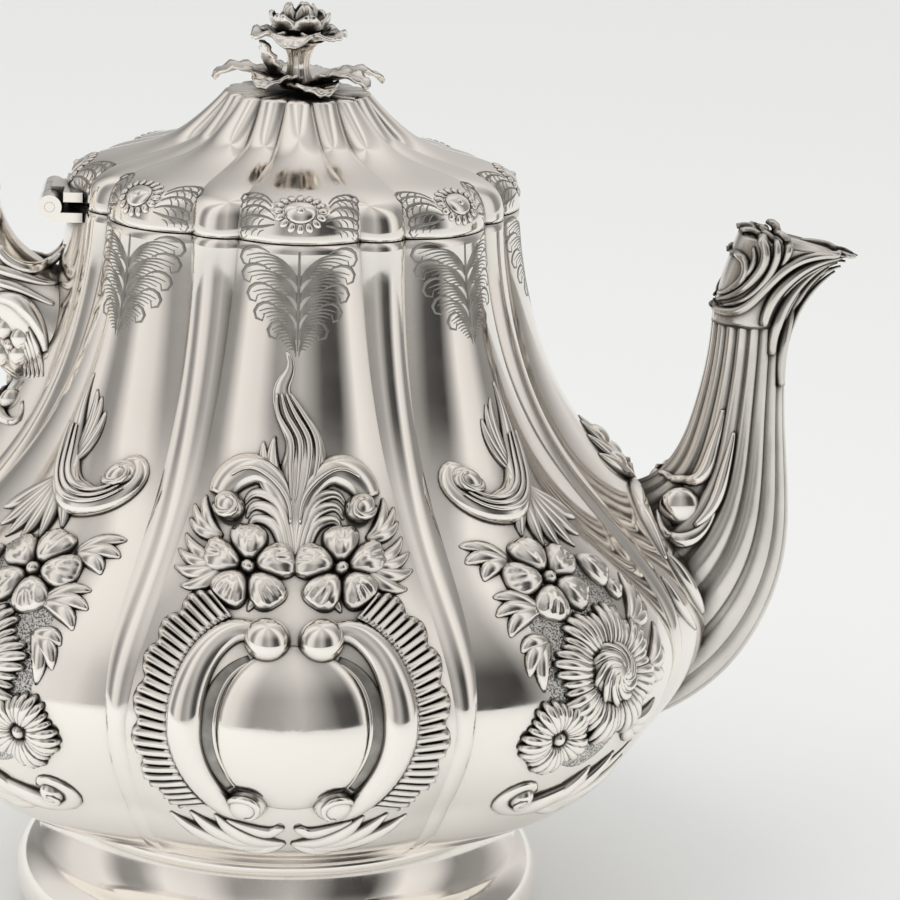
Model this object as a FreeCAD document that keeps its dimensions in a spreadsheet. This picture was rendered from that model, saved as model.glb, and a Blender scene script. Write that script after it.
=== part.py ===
import FreeCAD
import Part
import Sketcher
import math
import os
import re
from FreeCAD import Placement, Rotation, Vector

# Silver pot with eight melon lobes, a hinged lid, a swan-neck spout and a C-scroll handle.
# Millimetres, +Z up. The origin is on the pot's axis, in the plane that its foot stands on.
# The spout points to +X, the handle and the lid's hinge are at -X.

LOBES = 8
BODY_SECTIONS = 13
LID_SECTIONS = 11
SPOUT_REEDS = 14
STRAINER_RING = 6
FINIAL_LEAVES = 5
BLOOM_PETALS = 6

# Driving sizes. Heights are above the table, drops and rises are measured from the lid's seam.
SIZES = {
    "seam_height": (141, "lid seam above the table"),
    "seam_gap": (0.3, "gap between lid and body"),
    "wall": (1.1, "thickness of the raised sheet"),
    "mouth_radius": (42.2, "lobe crown at the seam"),
    "throat_drop": (16, "crown outline, below the seam"),
    "throat_radius": (44.6, ""),
    "shoulder_drop": (42, ""),
    "shoulder_radius": (56.6, ""),
    "belly_drop": (78, ""),
    "belly_radius": (82, "widest crown radius"),
    "tuck_drop": (96, ""),
    "tuck_radius": (74.8, ""),
    "heel_drop": (107, ""),
    "heel_radius": (63, ""),
    "base_radius": (41, "body where it meets the foot"),
    "mouth_lobe_depth": (3.0, "valley below crown at the seam"),
    "belly_lobe_depth": (3.2, "valley below crown at the belly"),
    "tuck_lobe_depth": (4.8, "valley below crown under the belly"),
    "base_lobe_depth": (0.8, "valley below crown at the base"),
    "mouth_rib_rise": (1.6, "rib crest above valley at the seam"),
    "base_rib_rise": (0.2, "rib crest above valley at the base"),
    "mouth_rib_angle": (6.5, "half width of a rib at the seam, degrees"),
    "belly_rib_angle": (1.3, "half width of a rib from the belly down, degrees"),
    "lid_shoulder_rise": (5.4, "lid outline, above the seam"),
    "lid_shoulder_radius": (40.9, ""),
    "lid_brim_rise": (8.9, ""),
    "lid_brim_radius": (33.6, ""),
    "lid_waist_rise": (13.1, ""),
    "lid_waist_radius": (22, ""),
    "lid_collar_rise": (16.4, ""),
    "lid_collar_radius": (17.8, ""),
    "lid_top_rise": (20.9, ""),
    "lid_top_radius": (13.4, "flat top under the finial"),
    "lid_waist_depth": (3.6, "flute depth on the slope, measured level"),
    "lid_top_depth": (1.1, "flute depth at the top"),
    "vent_reach": (17, "steam vent from the axis, at the front"),
    "vent_radius": (0.7, ""),
    "bezel_depth": (5.5, "bezel below the seam"),
    "bezel_grip": (3.5, "bezel inside the lid"),
    "bezel_wall": (1.2, ""),
    "bezel_clearance": (0.7, "bezel to the mouth's valleys"),
    "foot_height": (28, "top of the foot"),
    "foot_rim_height": (2.6, "wire that the pot stands on"),
    "foot_rim_radius": (49.4, ""),
    "foot_rim_width": (3.4, ""),
    "foot_bead_radius": (51.2, "widest part of the foot"),
    "foot_bead_height": (9.2, ""),
    "foot_step_radius": (47, ""),
    "foot_step_height": (15.4, ""),
    "foot_hollow_radius": (44.3, "middle of the cavetto"),
    "foot_hollow_height": (18.6, ""),
    "foot_neck_radius": (42.8, ""),
    "foot_neck_height": (22.6, ""),
    "foot_ring_radius": (44.2, "round moulding under the body"),
    "foot_wall": (1.8, ""),
    "finial_bore": (1.5, "hole for the stud"),
    "finial_fit": (0.05, "stud to hole"),
    "finial_hub": (1.4, "leaf thickness at the stem"),
    "leaf_reach": (16, "leaf tips from the axis"),
    "leaf_lift": (4.2, "leaf tips above the lid's top"),
    "leaf_half_width": (4.6, ""),
    "leaf_thickness": (1.0, "at the tips"),
    "stem_radius": (1.9, ""),
    "stem_top_radius": (3.2, ""),
    "stem_height": (7.6, "stem top above the lid's top"),
    "stud_length": (5.6, "stud below the lid's top"),
    "bloom_radius": (8.4, ""),
    "bloom_height": (7.7, ""),
    "petal_radius": (3.5, ""),
    "washer_radius": (4.2, ""),
    "washer_thickness": (0.8, ""),
    "nut_radius": (3.6, "across the nut's corners, half"),
    "nut_height": (2.6, ""),
    "hinge_reach": (3.0, "pin from the lobe crown"),
    "hinge_rise": (-0.4, "pin above the seam"),
    "hinge_barrel_radius": (2.2, ""),
    "hinge_pin_radius": (0.9, ""),
    "hinge_fit": (0.05, "pin to knuckle, radial"),
    "hinge_half_width": (10, ""),
    "hinge_knuckle_half": (4, "lid knuckle, half its length"),
    "hinge_side_gap": (0.3, "between knuckles"),
    "hinge_leaf_thickness": (1.8, ""),
    "hinge_leaf_gap": (1.0, "leaf face from the pin's level"),
    "spout_root_drop": (72.4, "spout centre line at the body"),
    "spout_root_reach": (-9.4, "beyond the belly's crown, like the reaches below"),
    "spout_root_half": (23, "half height of the spout at the body"),
    "spout_root_width": (15, "half width of the spout at the body"),
    "spout_bend_drop": (62.4, ""),
    "spout_bend_reach": (-0.8, ""),
    "spout_bend_half": (17.5, ""),
    "spout_bend_width": (12.5, ""),
    "spout_neck_drop": (51, ""),
    "spout_neck_reach": (3.2, ""),
    "spout_neck_half": (11.8, ""),
    "spout_neck_width": (10, ""),
    "spout_upper_drop": (39.4, ""),
    "spout_upper_reach": (4.5, ""),
    "spout_upper_half": (8.9, ""),
    "spout_upper_width": (8.2, ""),
    "spout_top_drop": (17, "where the mouth is soldered on"),
    "spout_top_reach": (5.4, ""),
    "spout_top_half": (7.3, ""),
    "spout_top_width": (6.8, ""),
    "spout_wall": (1.9, ""),
    "reed_depth": (0.07, "groove between reeds as a share of the radius"),
    "strainer_radius": (1.7, "hole in the wall behind the spout"),
    "strainer_pitch": (5.6, ""),
    "lip_reach": (13.2, "middle of the mouth, beyond the belly's crown"),
    "lip_drop": (4.4, ""),
    "lip_half": (11.7, "half length of the mouth"),
    "lip_width": (7.3, "half width of the mouth"),
    "lip_pitch": (9.5, "fall of the mouth towards its tip, degrees"),
    "lip_taper": (0.38, "narrowing towards the tip"),
    "lip_wall": (1.4, ""),
    "collar_overhang": (0.5, "mouth casting outside the tube"),
    "volute_radius": (4.6, "scroll at the back of the mouth"),
    "upper_joint_gap": (18.2, "upper insulator from the mouth's crown"),
    "upper_joint_rise": (0.4, ""),
    "upper_lean": (14, "outward lean of the handle there, degrees"),
    "lower_joint_gap": (11, "lower insulator from the belly's crown"),
    "lower_joint_drop": (64, ""),
    "lower_lean": (52, "turn of the handle's end towards the body, degrees"),
    "insulator_radius": (5.7, ""),
    "insulator_thickness": (3.0, ""),
    "tenon_radius": (2.8, ""),
    "tenon_length": (4.6, ""),
    "tenon_fit": (0.05, ""),
    "pin_radius": (0.7, "cross rivet"),
    "pin_length": (10.2, ""),
    "handle_end_radius": (5.2, ""),
    "handle_top_gap": (19.6, "crown of the handle beyond the upper insulator"),
    "handle_top_rise": (17, ""),
    "handle_back_gap": (12, "furthest part of the handle beyond the lower insulator"),
    "handle_back_drop": (13, ""),
    "handle_heel_gap": (12, ""),
    "handle_heel_drop": (40, ""),
    "handle_radius": (5.6, "grip"),
    "handle_straight": (5, "straight run at each insulator"),
    "thumb_radius": (4.2, "scroll under the thumb"),
    "thumb_width": (8, ""),
    "upper_socket_gap": (7.4, "bend of the upper socket beyond the throat"),
    "upper_socket_drop": (17.5, ""),
    "upper_socket_radius": (7.4, ""),
    "upper_root_drop": (27, ""),
    "upper_root_radius": (12.5, ""),
    "lower_root_drop": (75, ""),
    "lower_root_radius": (10.5, ""),
    "root_bite": (8, "how far a socket's centre line runs into the body"),
}

doc = FreeCAD.newDocument("melon_pot")
sheet = doc.addObject("Spreadsheet::Sheet", "Sizes")
for row, (alias, (number, words)) in enumerate(SIZES.items(), start=1):
    sheet.set(f"A{row}", words or alias.replace("_", " "))
    sheet.set(f"B{row}", str(number))
    sheet.setAlias(f"B{row}", alias)
doc.recompute()


# Sizes and expressions

def size(alias):
    return float(sheet.get(alias))


def bound(expression):
    return re.sub(r"[a-z]+(?:_[a-z]+)+|wall", lambda word: "Sizes." + word.group(0), expression)


def value(expression):
    return float(sheet.evalExpression(bound(expression)))


# Document objects

def feature(name, shape):
    item = doc.addObject("Part::Feature", name)
    item.Shape = shape
    return item


def primitive(kind, name, sizes, placement):
    item = doc.addObject("Part::" + kind, name)
    for prop, expression in sizes.items():
        item.setExpression(prop, bound(expression))
    item.Placement = placement
    return item


def cylinder(name, radius, height, placement):
    return primitive("Cylinder", name, {"Radius": radius, "Height": height}, placement)


def cut(name, base, tool):
    item = doc.addObject("Part::Cut", name)
    item.Base = base
    item.Tool = tool
    return item


def fuse(name, shapes):
    item = doc.addObject("Part::MultiFuse", name)
    item.Shapes = shapes
    return item


def common(name, base, tool):
    item = doc.addObject("Part::Common", name)
    item.Base = base
    item.Tool = tool
    return item


def group(name, shapes):
    item = doc.addObject("Part::Compound", name)
    item.Links = shapes
    return item


def along(point, direction):
    """Placement that carries +Z to the direction."""
    return Placement(point, Rotation(Vector(0, 0, 1), direction))


# Sketched bodies

def new_sketch(body, name, role):
    sketch = body.newObject("Sketcher::SketchObject", name)
    plane = next(item for item in body.Origin.OriginFeatures if item.Role == role)
    sketch.AttachmentSupport = [(plane, "")]
    sketch.MapMode = "FlatFace"
    return sketch


def pin_point(sketch, geometry, position, across, up):
    """Holds one sketch point at two distances from the sketch's origin."""
    for kind, axis, expression in (("DistanceX", -2, across), ("DistanceY", -1, up)):
        distance = value(expression)
        if abs(distance) < 1e-9:
            sketch.addConstraint(Sketcher.Constraint("PointOnObject", geometry, position, axis))
            continue
        index = sketch.addConstraint(
            Sketcher.Constraint(kind, -1, 1, geometry, position, distance))
        sketch.setExpression(f"Constraints[{index}]", bound(expression))


def draw_outline(sketch, corners):
    """Closed outline. A corner is (across, up), or (across, up, via across, via up) to reach it by an arc."""
    spots = [Vector(value(corner[0]), value(corner[1]), 0) for corner in corners]
    ends = []
    for index, corner in enumerate(corners):
        start = spots[index - 1]
        finish = spots[index]
        if len(corner) == 2:
            geometry = sketch.addGeometry(Part.LineSegment(start, finish), False)
            ends.append((geometry, 1, 2))
            continue
        middle = Vector(value(corner[2]), value(corner[3]), 0)
        clockwise = (middle - start).cross(finish - middle).z < 0
        arc = Part.Arc(finish, middle, start) if clockwise else Part.Arc(start, middle, finish)
        geometry = sketch.addGeometry(arc, False)
        ends.append((geometry, 2, 1) if clockwise else (geometry, 1, 2))
    for index, corner in enumerate(corners):
        before = ends[index]
        after = ends[(index + 1) % len(corners)]
        sketch.addConstraint(
            Sketcher.Constraint("Coincident", before[0], before[2], after[0], after[1]))
        pin_point(sketch, before[0], before[2], corner[0], corner[1])
        if len(corner) == 4:
            through = Vector(value(corner[2]), value(corner[3]), 0)
            dot = sketch.addGeometry(Part.Point(through), True)
            sketch.addConstraint(Sketcher.Constraint("PointOnObject", dot, 1, before[0]))
            pin_point(sketch, dot, 1, corner[2], corner[3])


def turned(name, corners):
    """Body of revolution about Z from an outline of radius and height."""
    body = doc.addObject("PartDesign::Body", name)
    sketch = new_sketch(body, name + "_outline", "XZ_Plane")
    draw_outline(sketch, corners)
    turn = body.newObject("PartDesign::Revolution", name + "_turn")
    turn.Profile = sketch
    turn.ReferenceAxis = (sketch, ["V_Axis"])
    turn.Angle = 360
    body.Tip = turn
    return body


def petal_prism(name, corners, height, copies):
    """Upright prism of one petal outline, repeated round Z."""
    body = doc.addObject("PartDesign::Body", name)
    sketch = new_sketch(body, name + "_outline", "XY_Plane")
    draw_outline(sketch, corners)
    pad = body.newObject("PartDesign::Pad", name + "_pad")
    pad.Profile = sketch
    pad.setExpression("Length", bound(height))
    doc.recompute()
    ring = body.newObject("PartDesign::PolarPattern", name + "_ring")
    ring.Originals = [pad]
    ring.Axis = (sketch, ["N_Axis"])
    ring.Angle = 360
    ring.Occurrences = copies
    body.Tip = ring
    return body


# Lofted forms

def polar(radius, angle, height):
    turn = math.radians(angle)
    return Vector(radius * math.cos(turn), radius * math.sin(turn), height)


def arc_edge(start, middle, finish):
    return Part.Arc(start, middle, finish).toShape()


def lobed_wire(height, crown, depth, rise, rib_angle):
    """Level section: eight convex lobes with a narrow convex rib in each valley."""
    valley = crown - depth
    step = 360 / LOBES
    edges = []
    for lobe in range(LOBES):
        middle = lobe * step
        side = step / 2 - rib_angle
        edges.append(arc_edge(
            polar(valley, middle - side, height),
            polar(crown, middle, height),
            polar(valley, middle + side, height)))
        border = middle + step / 2
        edges.append(arc_edge(
            polar(valley, border - rib_angle, height),
            polar(valley + rise, border, height),
            polar(valley, border + rib_angle, height)))
    return Part.Wire(edges)


def blend(position, stations):
    """Straight interpolation between (position, number) stations in falling or rising order."""
    ordered = sorted(stations)
    if position <= ordered[0][0]:
        return ordered[0][1]
    for (low, first), (high, second) in zip(ordered, ordered[1:]):
        if position <= high:
            return first + (second - first) * (position - low) / (high - low)
    return ordered[-1][1]


def tangent_at(curve, point):
    """Unit tangent of the curve at one of its own points."""
    place = min(max(curve.parameter(point), curve.FirstParameter), curve.LastParameter)
    return curve.tangent(place)[0]


def outline_samples(points, count):
    """Points and unit tangents at even steps along the smooth curve through the points."""
    curve = Part.BSplineCurve()
    curve.interpolate(points)
    samples = []
    for point in curve.discretize(Number=count):
        samples.append((point, tangent_at(curve, point)))
    return samples


def loft(wires):
    return Part.makeLoft(wires, True, False)


def body_wires(inset):
    """Sections from the mouth down; the inset moves them inwards, square to the crown outline."""
    seam = size("seam_height")
    crown = [Vector(size("mouth_radius"), 0, seam)]
    for part in ("throat", "shoulder", "belly", "tuck", "heel"):
        crown.append(Vector(size(part + "_radius"), 0, seam - size(part + "_drop")))
    crown.append(Vector(size("base_radius"), 0, size("foot_height")))
    belly = seam - size("belly_drop")
    tuck = seam - size("tuck_drop")
    base = size("foot_height")
    depths = [(seam, size("mouth_lobe_depth")), (belly, size("belly_lobe_depth")),
              (tuck, size("tuck_lobe_depth")), (base, size("base_lobe_depth"))]
    rises = [(seam, size("mouth_rib_rise")), (base, size("base_rib_rise"))]
    angles = [(seam, size("mouth_rib_angle")), (belly, size("belly_rib_angle"))]
    wires = []
    for point, tangent in outline_samples(crown, BODY_SECTIONS):
        wires.append(lobed_wire(
            point.z - inset * tangent.x,
            point.x + inset * tangent.z,
            blend(point.z, depths),
            blend(point.z, rises),
            blend(point.z, angles)))
    return wires


def mouth_wire(height, inset):
    return lobed_wire(
        height,
        size("mouth_radius") - inset,
        size("mouth_lobe_depth"),
        size("mouth_rib_rise"),
        size("mouth_rib_angle"))


def lid_wires(inset):
    """Sections from the rim up; near the top lobes and ribs become sixteen equal flutes."""
    seam = size("seam_height")
    rim = seam + size("seam_gap")
    crown = [Vector(size("mouth_radius"), 0, rim)]
    for part in ("shoulder", "brim", "waist", "collar", "top"):
        crown.append(Vector(size(f"lid_{part}_radius"), 0, seam + size(f"lid_{part}_rise")))
    shoulder = seam + size("lid_shoulder_rise")
    waist = seam + size("lid_waist_rise")
    top = seam + size("lid_top_rise")
    depths = [(rim, size("mouth_lobe_depth")), (shoulder, size("mouth_lobe_depth")),
              (waist, size("lid_waist_depth")), (top, size("lid_top_depth"))]
    rises = [(rim, size("mouth_rib_rise")), (shoulder, size("mouth_rib_rise")),
             (top, size("lid_top_depth"))]
    angles = [(shoulder, size("mouth_rib_angle")), (top, 90 / LOBES)]
    wires = []
    for point, tangent in outline_samples(crown, LID_SECTIONS):
        wires.append(lobed_wire(
            point.z + inset * tangent.x,
            point.x - inset * tangent.z,
            blend(point.z, depths),
            blend(point.z, rises),
            blend(point.z, angles)))
    return wires


def frames_on(points, start=None, finish=None):
    """For each point of a smooth centre line in the XZ plane: the point, and the direction across it."""
    curve = Part.BSplineCurve()
    if start:
        curve.interpolate(points, InitialTangent=start, FinalTangent=finish)
    else:
        curve.interpolate(points)
    frames = []
    for point in points:
        tangent = tangent_at(curve, point)
        frames.append((point, Vector(-tangent.z, 0, tangent.x)))
    return frames


def on_section(frame, across, sideways):
    point, direction = frame
    return point + direction * across + Vector(0, sideways, 0)


def oval_wire(frame, half, width, taper=0.0):
    """Smooth oval section, narrowed by the taper on its far side."""
    spots = []
    steps = 16
    for step in range(steps):
        turn = 2 * math.pi * step / steps
        across = half * math.cos(turn)
        sideways = width * math.sin(turn) * (1 + taper * math.cos(turn))
        spots.append(on_section(frame, across, sideways))
    curve = Part.BSplineCurve()
    curve.interpolate(spots, PeriodicFlag=True)
    return Part.Wire([curve.toShape()])


def reeded_wire(frame, half, width, groove):
    """Oval section of convex reeds that meet in grooves."""
    def spot(turn, share):
        return on_section(frame, share * half * math.cos(turn), share * width * math.sin(turn))

    edges = []
    step = 2 * math.pi / SPOUT_REEDS
    for reed in range(SPOUT_REEDS):
        start = reed * step
        edges.append(arc_edge(
            spot(start, 1 - groove), spot(start + step / 2, 1), spot(start + step, 1 - groove)))
    return Part.Wire(edges)


def tube(points, radii, start, finish):
    """Round tube that leaves and arrives in the given directions, so that its ends are square to them."""
    wires = []
    for frame, radius in zip(frames_on(points, start, finish), radii):
        wires.append(oval_wire(frame, radius, radius))
    return loft(wires)


SEAM = size("seam_height")
UPRIGHT = Vector(0, 0, 1)
SIDEWAYS = Vector(0, 1, 0)


# Body and foot

body_outer = feature("body_outer", loft(body_wires(0)))
body_cavity = feature(
    "body_cavity",
    loft([mouth_wire(SEAM + size("wall"), size("wall"))] + body_wires(size("wall"))))
body_hollow = cut("body_hollow", body_outer, body_cavity)

strainer_height = SEAM - size("spout_root_drop")
strainer_start = value("belly_radius / 2")
strainer_spots = [Vector(strainer_start, 0, strainer_height)]
for hole in range(STRAINER_RING):
    turn = 2 * math.pi * hole / STRAINER_RING
    strainer_spots.append(strainer_spots[0] + Vector(
        0, size("strainer_pitch") * math.cos(turn), size("strainer_pitch") * math.sin(turn)))
strainer_holes = []
for spot in strainer_spots:
    strainer_holes.append(cylinder(
        "strainer_hole", "strainer_radius", "belly_radius", along(spot, Vector(1, 0, 0))))
strainer = group("strainer", strainer_holes)
body_shell = cut("body_shell", body_hollow, strainer)

foot = turned("foot", [
    ("foot_rim_radius - foot_rim_width / 4 - foot_wall", "foot_rim_height",
     "foot_bead_radius - foot_wall", "foot_bead_height"),
    ("foot_rim_radius - foot_rim_width / 4", "foot_rim_height"),
    ("foot_step_radius", "foot_step_height", "foot_bead_radius", "foot_bead_height"),
    ("foot_step_radius - 0.5", "foot_step_height + 0.6"),
    ("foot_neck_radius", "foot_neck_height", "foot_hollow_radius", "foot_hollow_height"),
    ("foot_neck_radius", "(foot_neck_height + foot_height) / 2 + 1",
     "foot_ring_radius", "(foot_neck_height * 3 + foot_height) / 4 + 0.4"),
    ("base_radius", "foot_height"),
    ("base_radius - foot_wall", "foot_height"),
    ("foot_neck_radius - foot_wall", "foot_neck_height"),
    ("foot_step_radius - foot_wall", "foot_step_height",
     "foot_hollow_radius - foot_wall", "foot_hollow_height"),
])

foot_rim = turned("foot_rim", [
    ("foot_rim_radius - foot_rim_width", "0"),
    ("foot_rim_radius - 0.4", "0"),
    ("foot_rim_radius - 0.4", "foot_rim_height", "foot_rim_radius", "foot_rim_height / 2"),
    ("foot_rim_radius - foot_rim_width", "foot_rim_height"),
])


# Lid

lid_outer = feature("lid_outer", loft(lid_wires(0)))
lid_cavity = feature(
    "lid_cavity",
    loft([mouth_wire(SEAM - size("wall"), size("wall"))] + lid_wires(size("wall"))))
lid_hollow = cut("lid_hollow", lid_outer, lid_cavity)
vent = cylinder(
    "vent", "vent_radius", "lid_top_rise",
    along(Vector(0, -size("vent_reach"), SEAM + size("lid_shoulder_rise")), UPRIGHT))
stud_hole = cylinder(
    "stud_hole", "finial_bore + finial_fit", "lid_top_rise",
    along(Vector(0, 0, SEAM + size("lid_shoulder_rise")), UPRIGHT))
lid_holes = group("lid_holes", [vent, stud_hole])
lid_dome = cut("lid_dome", lid_hollow, lid_holes)

BEZEL_OUTER = "mouth_radius - mouth_lobe_depth - wall"
lid_bezel = turned("lid_bezel", [
    (f"{BEZEL_OUTER} - bezel_clearance - bezel_wall", "seam_height - bezel_depth"),
    (f"{BEZEL_OUTER} - bezel_clearance", "seam_height - bezel_depth"),
    (f"{BEZEL_OUTER} - bezel_clearance", "seam_height + seam_gap"),
    (f"{BEZEL_OUTER} - finial_fit", "seam_height + seam_gap * 2"),
    (f"{BEZEL_OUTER} - finial_fit", "seam_height + bezel_grip"),
    (f"{BEZEL_OUTER} - bezel_clearance - bezel_wall", "seam_height + bezel_grip"),
])


# Finial

LID_TOP = "seam_height + lid_top_rise"
leaf_dish = turned("leaf_dish", [
    ("finial_bore + finial_fit", LID_TOP),
    ("stem_top_radius", LID_TOP),
    ("leaf_reach * 0.55", f"{LID_TOP} + leaf_lift * 0.22"),
    ("leaf_reach", f"{LID_TOP} + leaf_lift - leaf_thickness"),
    ("leaf_reach", f"{LID_TOP} + leaf_lift"),
    ("leaf_reach * 0.55", f"{LID_TOP} + leaf_lift * 0.22 + leaf_thickness"),
    ("finial_bore + finial_fit", f"{LID_TOP} + finial_hub"),
])
leaf_prism = petal_prism(
    "leaf_prism",
    [("leaf_reach", "0", "leaf_reach / 2", "0 - leaf_half_width"),
     ("0 - finial_bore", "0", "leaf_reach / 2", "leaf_half_width")],
    f"{LID_TOP} + leaf_lift * 2",
    FINIAL_LEAVES)
finial_leaves = common("finial_leaves", leaf_dish, leaf_prism)

STEM_TOP = f"{LID_TOP} + stem_height"
finial_stem = turned("finial_stem", [
    ("0", f"{LID_TOP} - stud_length"),
    ("finial_bore", f"{LID_TOP} - stud_length"),
    ("finial_bore", f"{LID_TOP} + finial_hub + leaf_thickness / 2"),
    ("stem_top_radius", f"{LID_TOP} + finial_hub + leaf_thickness / 2"),
    ("stem_radius", f"{LID_TOP} + finial_hub + stem_height * 0.3"),
    ("stem_top_radius", STEM_TOP, "stem_radius", f"{LID_TOP} + finial_hub + stem_height * 0.55"),
    ("0", STEM_TOP),
])

bloom_cap = turned("bloom_cap", [
    ("0", STEM_TOP),
    ("stem_top_radius", STEM_TOP),
    ("bloom_radius", f"{STEM_TOP} + bloom_height * 0.1",
     "bloom_radius * 0.7", f"{STEM_TOP} + bloom_height * 0.2"),
    ("bloom_radius", f"{STEM_TOP} + bloom_height * 0.3"),
    ("bloom_radius * 0.85", f"{STEM_TOP} + bloom_height * 0.65"),
    ("bloom_radius * 0.5", f"{STEM_TOP} + bloom_height * 0.92"),
    ("0", f"{STEM_TOP} + bloom_height"),
])
PETAL_MIDDLE = "bloom_radius - petal_radius"
bloom_prism = petal_prism(
    "bloom_prism",
    [(PETAL_MIDDLE, "petal_radius", "bloom_radius", "0"),
     ("0 - petal_radius", "0"),
     (PETAL_MIDDLE, "0 - petal_radius")],
    f"{STEM_TOP} + bloom_height * 2",
    BLOOM_PETALS)
finial_bloom = common("finial_bloom", bloom_cap, bloom_prism)

finial_washer = turned("finial_washer", [
    ("finial_bore + finial_fit", f"{LID_TOP} - wall - washer_thickness"),
    ("washer_radius", f"{LID_TOP} - wall - washer_thickness"),
    ("washer_radius", f"{LID_TOP} - wall"),
    ("finial_bore + finial_fit", f"{LID_TOP} - wall"),
])
nut_spot = Vector(0, 0, value(f"{LID_TOP} - wall - washer_thickness - nut_height"))
nut_blank = primitive(
    "Prism", "nut_blank", {"Circumradius": "nut_radius", "Height": "nut_height"}, along(nut_spot, UPRIGHT))
nut_blank.Polygon = 6
nut_bore = cylinder("nut_bore", "finial_bore + finial_fit", "nut_height", along(nut_spot, UPRIGHT))
finial_nut = cut("finial_nut", nut_blank, nut_bore)


# Hinge at the handle side, its pin along Y

PIVOT = Vector(-value("mouth_radius + hinge_reach"), 0, value("seam_height + hinge_rise"))


def knuckle(name, start, length):
    return cylinder(name, "hinge_barrel_radius", length, along(PIVOT + SIDEWAYS * value(start), SIDEWAYS))


def leaf_box(name, inner, outer, half_width, bottom):
    """Plate from one distance to another inboard of the pin."""
    corner = Vector(PIVOT.x + value(inner), -value(half_width), value(bottom))
    sizes = {"Length": f"{outer} - ({inner})", "Width": f"2 * ({half_width})", "Height": "hinge_leaf_thickness"}
    return primitive("Box", name, sizes, Placement(corner, Rotation()))


BARE_GAP = "hinge_barrel_radius + hinge_side_gap"
LEAF_END = "hinge_reach + mouth_lobe_depth"
BODY_LEAF_BOTTOM = "seam_height + hinge_rise - hinge_leaf_gap - hinge_leaf_thickness"
LID_LEAF_BOTTOM = "seam_height + hinge_rise + hinge_leaf_gap"
OUTER_KNUCKLE = "hinge_half_width - hinge_knuckle_half - hinge_side_gap"

hinge_bore = cylinder(
    "hinge_bore", "hinge_pin_radius + hinge_fit", "4 * hinge_half_width",
    along(PIVOT - SIDEWAYS * value("2 * hinge_half_width"), SIDEWAYS))
body_leaf_blank = fuse("body_leaf_blank", [
    knuckle("body_knuckle_front", "0 - hinge_half_width", OUTER_KNUCKLE),
    knuckle("body_knuckle_back", "hinge_knuckle_half + hinge_side_gap", OUTER_KNUCKLE),
    leaf_box("body_leaf_plate", "0", LEAF_END, "hinge_half_width", BODY_LEAF_BOTTOM),
])
body_leaf_room = cylinder(
    "body_leaf_room", BARE_GAP, "2 * (hinge_knuckle_half + hinge_side_gap)",
    along(PIVOT - SIDEWAYS * value("hinge_knuckle_half + hinge_side_gap"), SIDEWAYS))
hinge_body_leaf = cut(
    "hinge_body_leaf",
    body_leaf_blank,
    group("body_leaf_cuts", [hinge_bore, body_leaf_room, body_outer]))

lid_leaf_blank = fuse("lid_leaf_blank", [
    knuckle("lid_knuckle", "0 - hinge_knuckle_half", "2 * hinge_knuckle_half"),
    leaf_box("lid_leaf_neck", "0", LEAF_END, "hinge_knuckle_half", LID_LEAF_BOTTOM),
    leaf_box("lid_leaf_plate", BARE_GAP, LEAF_END, "hinge_half_width", LID_LEAF_BOTTOM),
])
hinge_lid_leaf = cut(
    "hinge_lid_leaf", lid_leaf_blank, group("lid_leaf_cuts", [hinge_bore, lid_outer]))

hinge_pin = cylinder(
    "hinge_pin", "hinge_pin_radius", "2 * hinge_half_width",
    along(PIVOT - SIDEWAYS * size("hinge_half_width"), SIDEWAYS))


# Spout

def spout_stations():
    """Centre line points with half height and half width, from inside the body to the top."""
    stations = []
    for part in ("root", "bend", "neck", "upper", "top"):
        name = "spout_" + part
        point = Vector(value(f"belly_radius + {name}_reach"), 0, SEAM - size(name + "_drop"))
        stations.append((point, size(name + "_half"), size(name + "_width")))
    root, half, width = stations[0]
    inside = root - Vector(size("spout_root_half") * 0.65, 0, size("spout_root_half") * 0.4)
    return [(inside, half, width)] + stations


SPOUT = spout_stations()
SPOUT_FRAMES = frames_on([point for point, half, width in SPOUT])


def spout_outer():
    wires = []
    for frame, (point, half, width) in zip(SPOUT_FRAMES, SPOUT):
        wires.append(reeded_wire(frame, half, width, size("reed_depth")))
    return loft(wires)


def spout_bore():
    thickness = size("spout_wall")
    wires = []
    for frame, (point, half, width) in zip(SPOUT_FRAMES, SPOUT):
        wires.append(oval_wire(frame, half - thickness, width - thickness))
    return loft(wires)


spout_solid = feature("spout_solid", spout_outer())
spout_way = feature("spout_way", spout_bore())
spout_seat = cut("spout_seat", spout_solid, body_outer)
spout = cut("spout", spout_seat, spout_way)

COLLAR = SPOUT_FRAMES[-1]
MOUTH_PITCH = math.radians(size("lip_pitch"))
MOUTH_BACK = Vector(-math.cos(MOUTH_PITCH), 0, math.sin(MOUTH_PITCH))
MOUTH_UP = Vector(math.sin(MOUTH_PITCH), 0, math.cos(MOUTH_PITCH))
MOUTH = Vector(value("belly_radius + lip_reach"), 0, SEAM - size("lip_drop"))


def mouth_casting(inset, lift, start):
    """Oval sections that swell from the collar into the tapered mouth."""
    collar_half = value("spout_top_half + collar_overhang") - inset
    collar_width = value("spout_top_width + collar_overhang") - inset
    half = size("lip_half") - inset
    width = size("lip_width") - inset
    taper = size("lip_taper")
    point, across = COLLAR
    waist = (point * 0.55 + MOUTH * 0.45 - Vector(size("collar_overhang"), 0, 0),
             (across + MOUTH_BACK).normalize())
    wires = [
        oval_wire((point + Vector(0, 0, start), across), collar_half, collar_width),
        oval_wire(waist, (collar_half * 2 + half) / 3, (collar_width + width) / 2, taper / 3),
        oval_wire((MOUTH, MOUTH_BACK), half, width, taper),
    ]
    if lift:
        wires.append(oval_wire((MOUTH + MOUTH_UP * lift, MOUTH_BACK), half, width, taper))
    return loft(wires)


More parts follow.
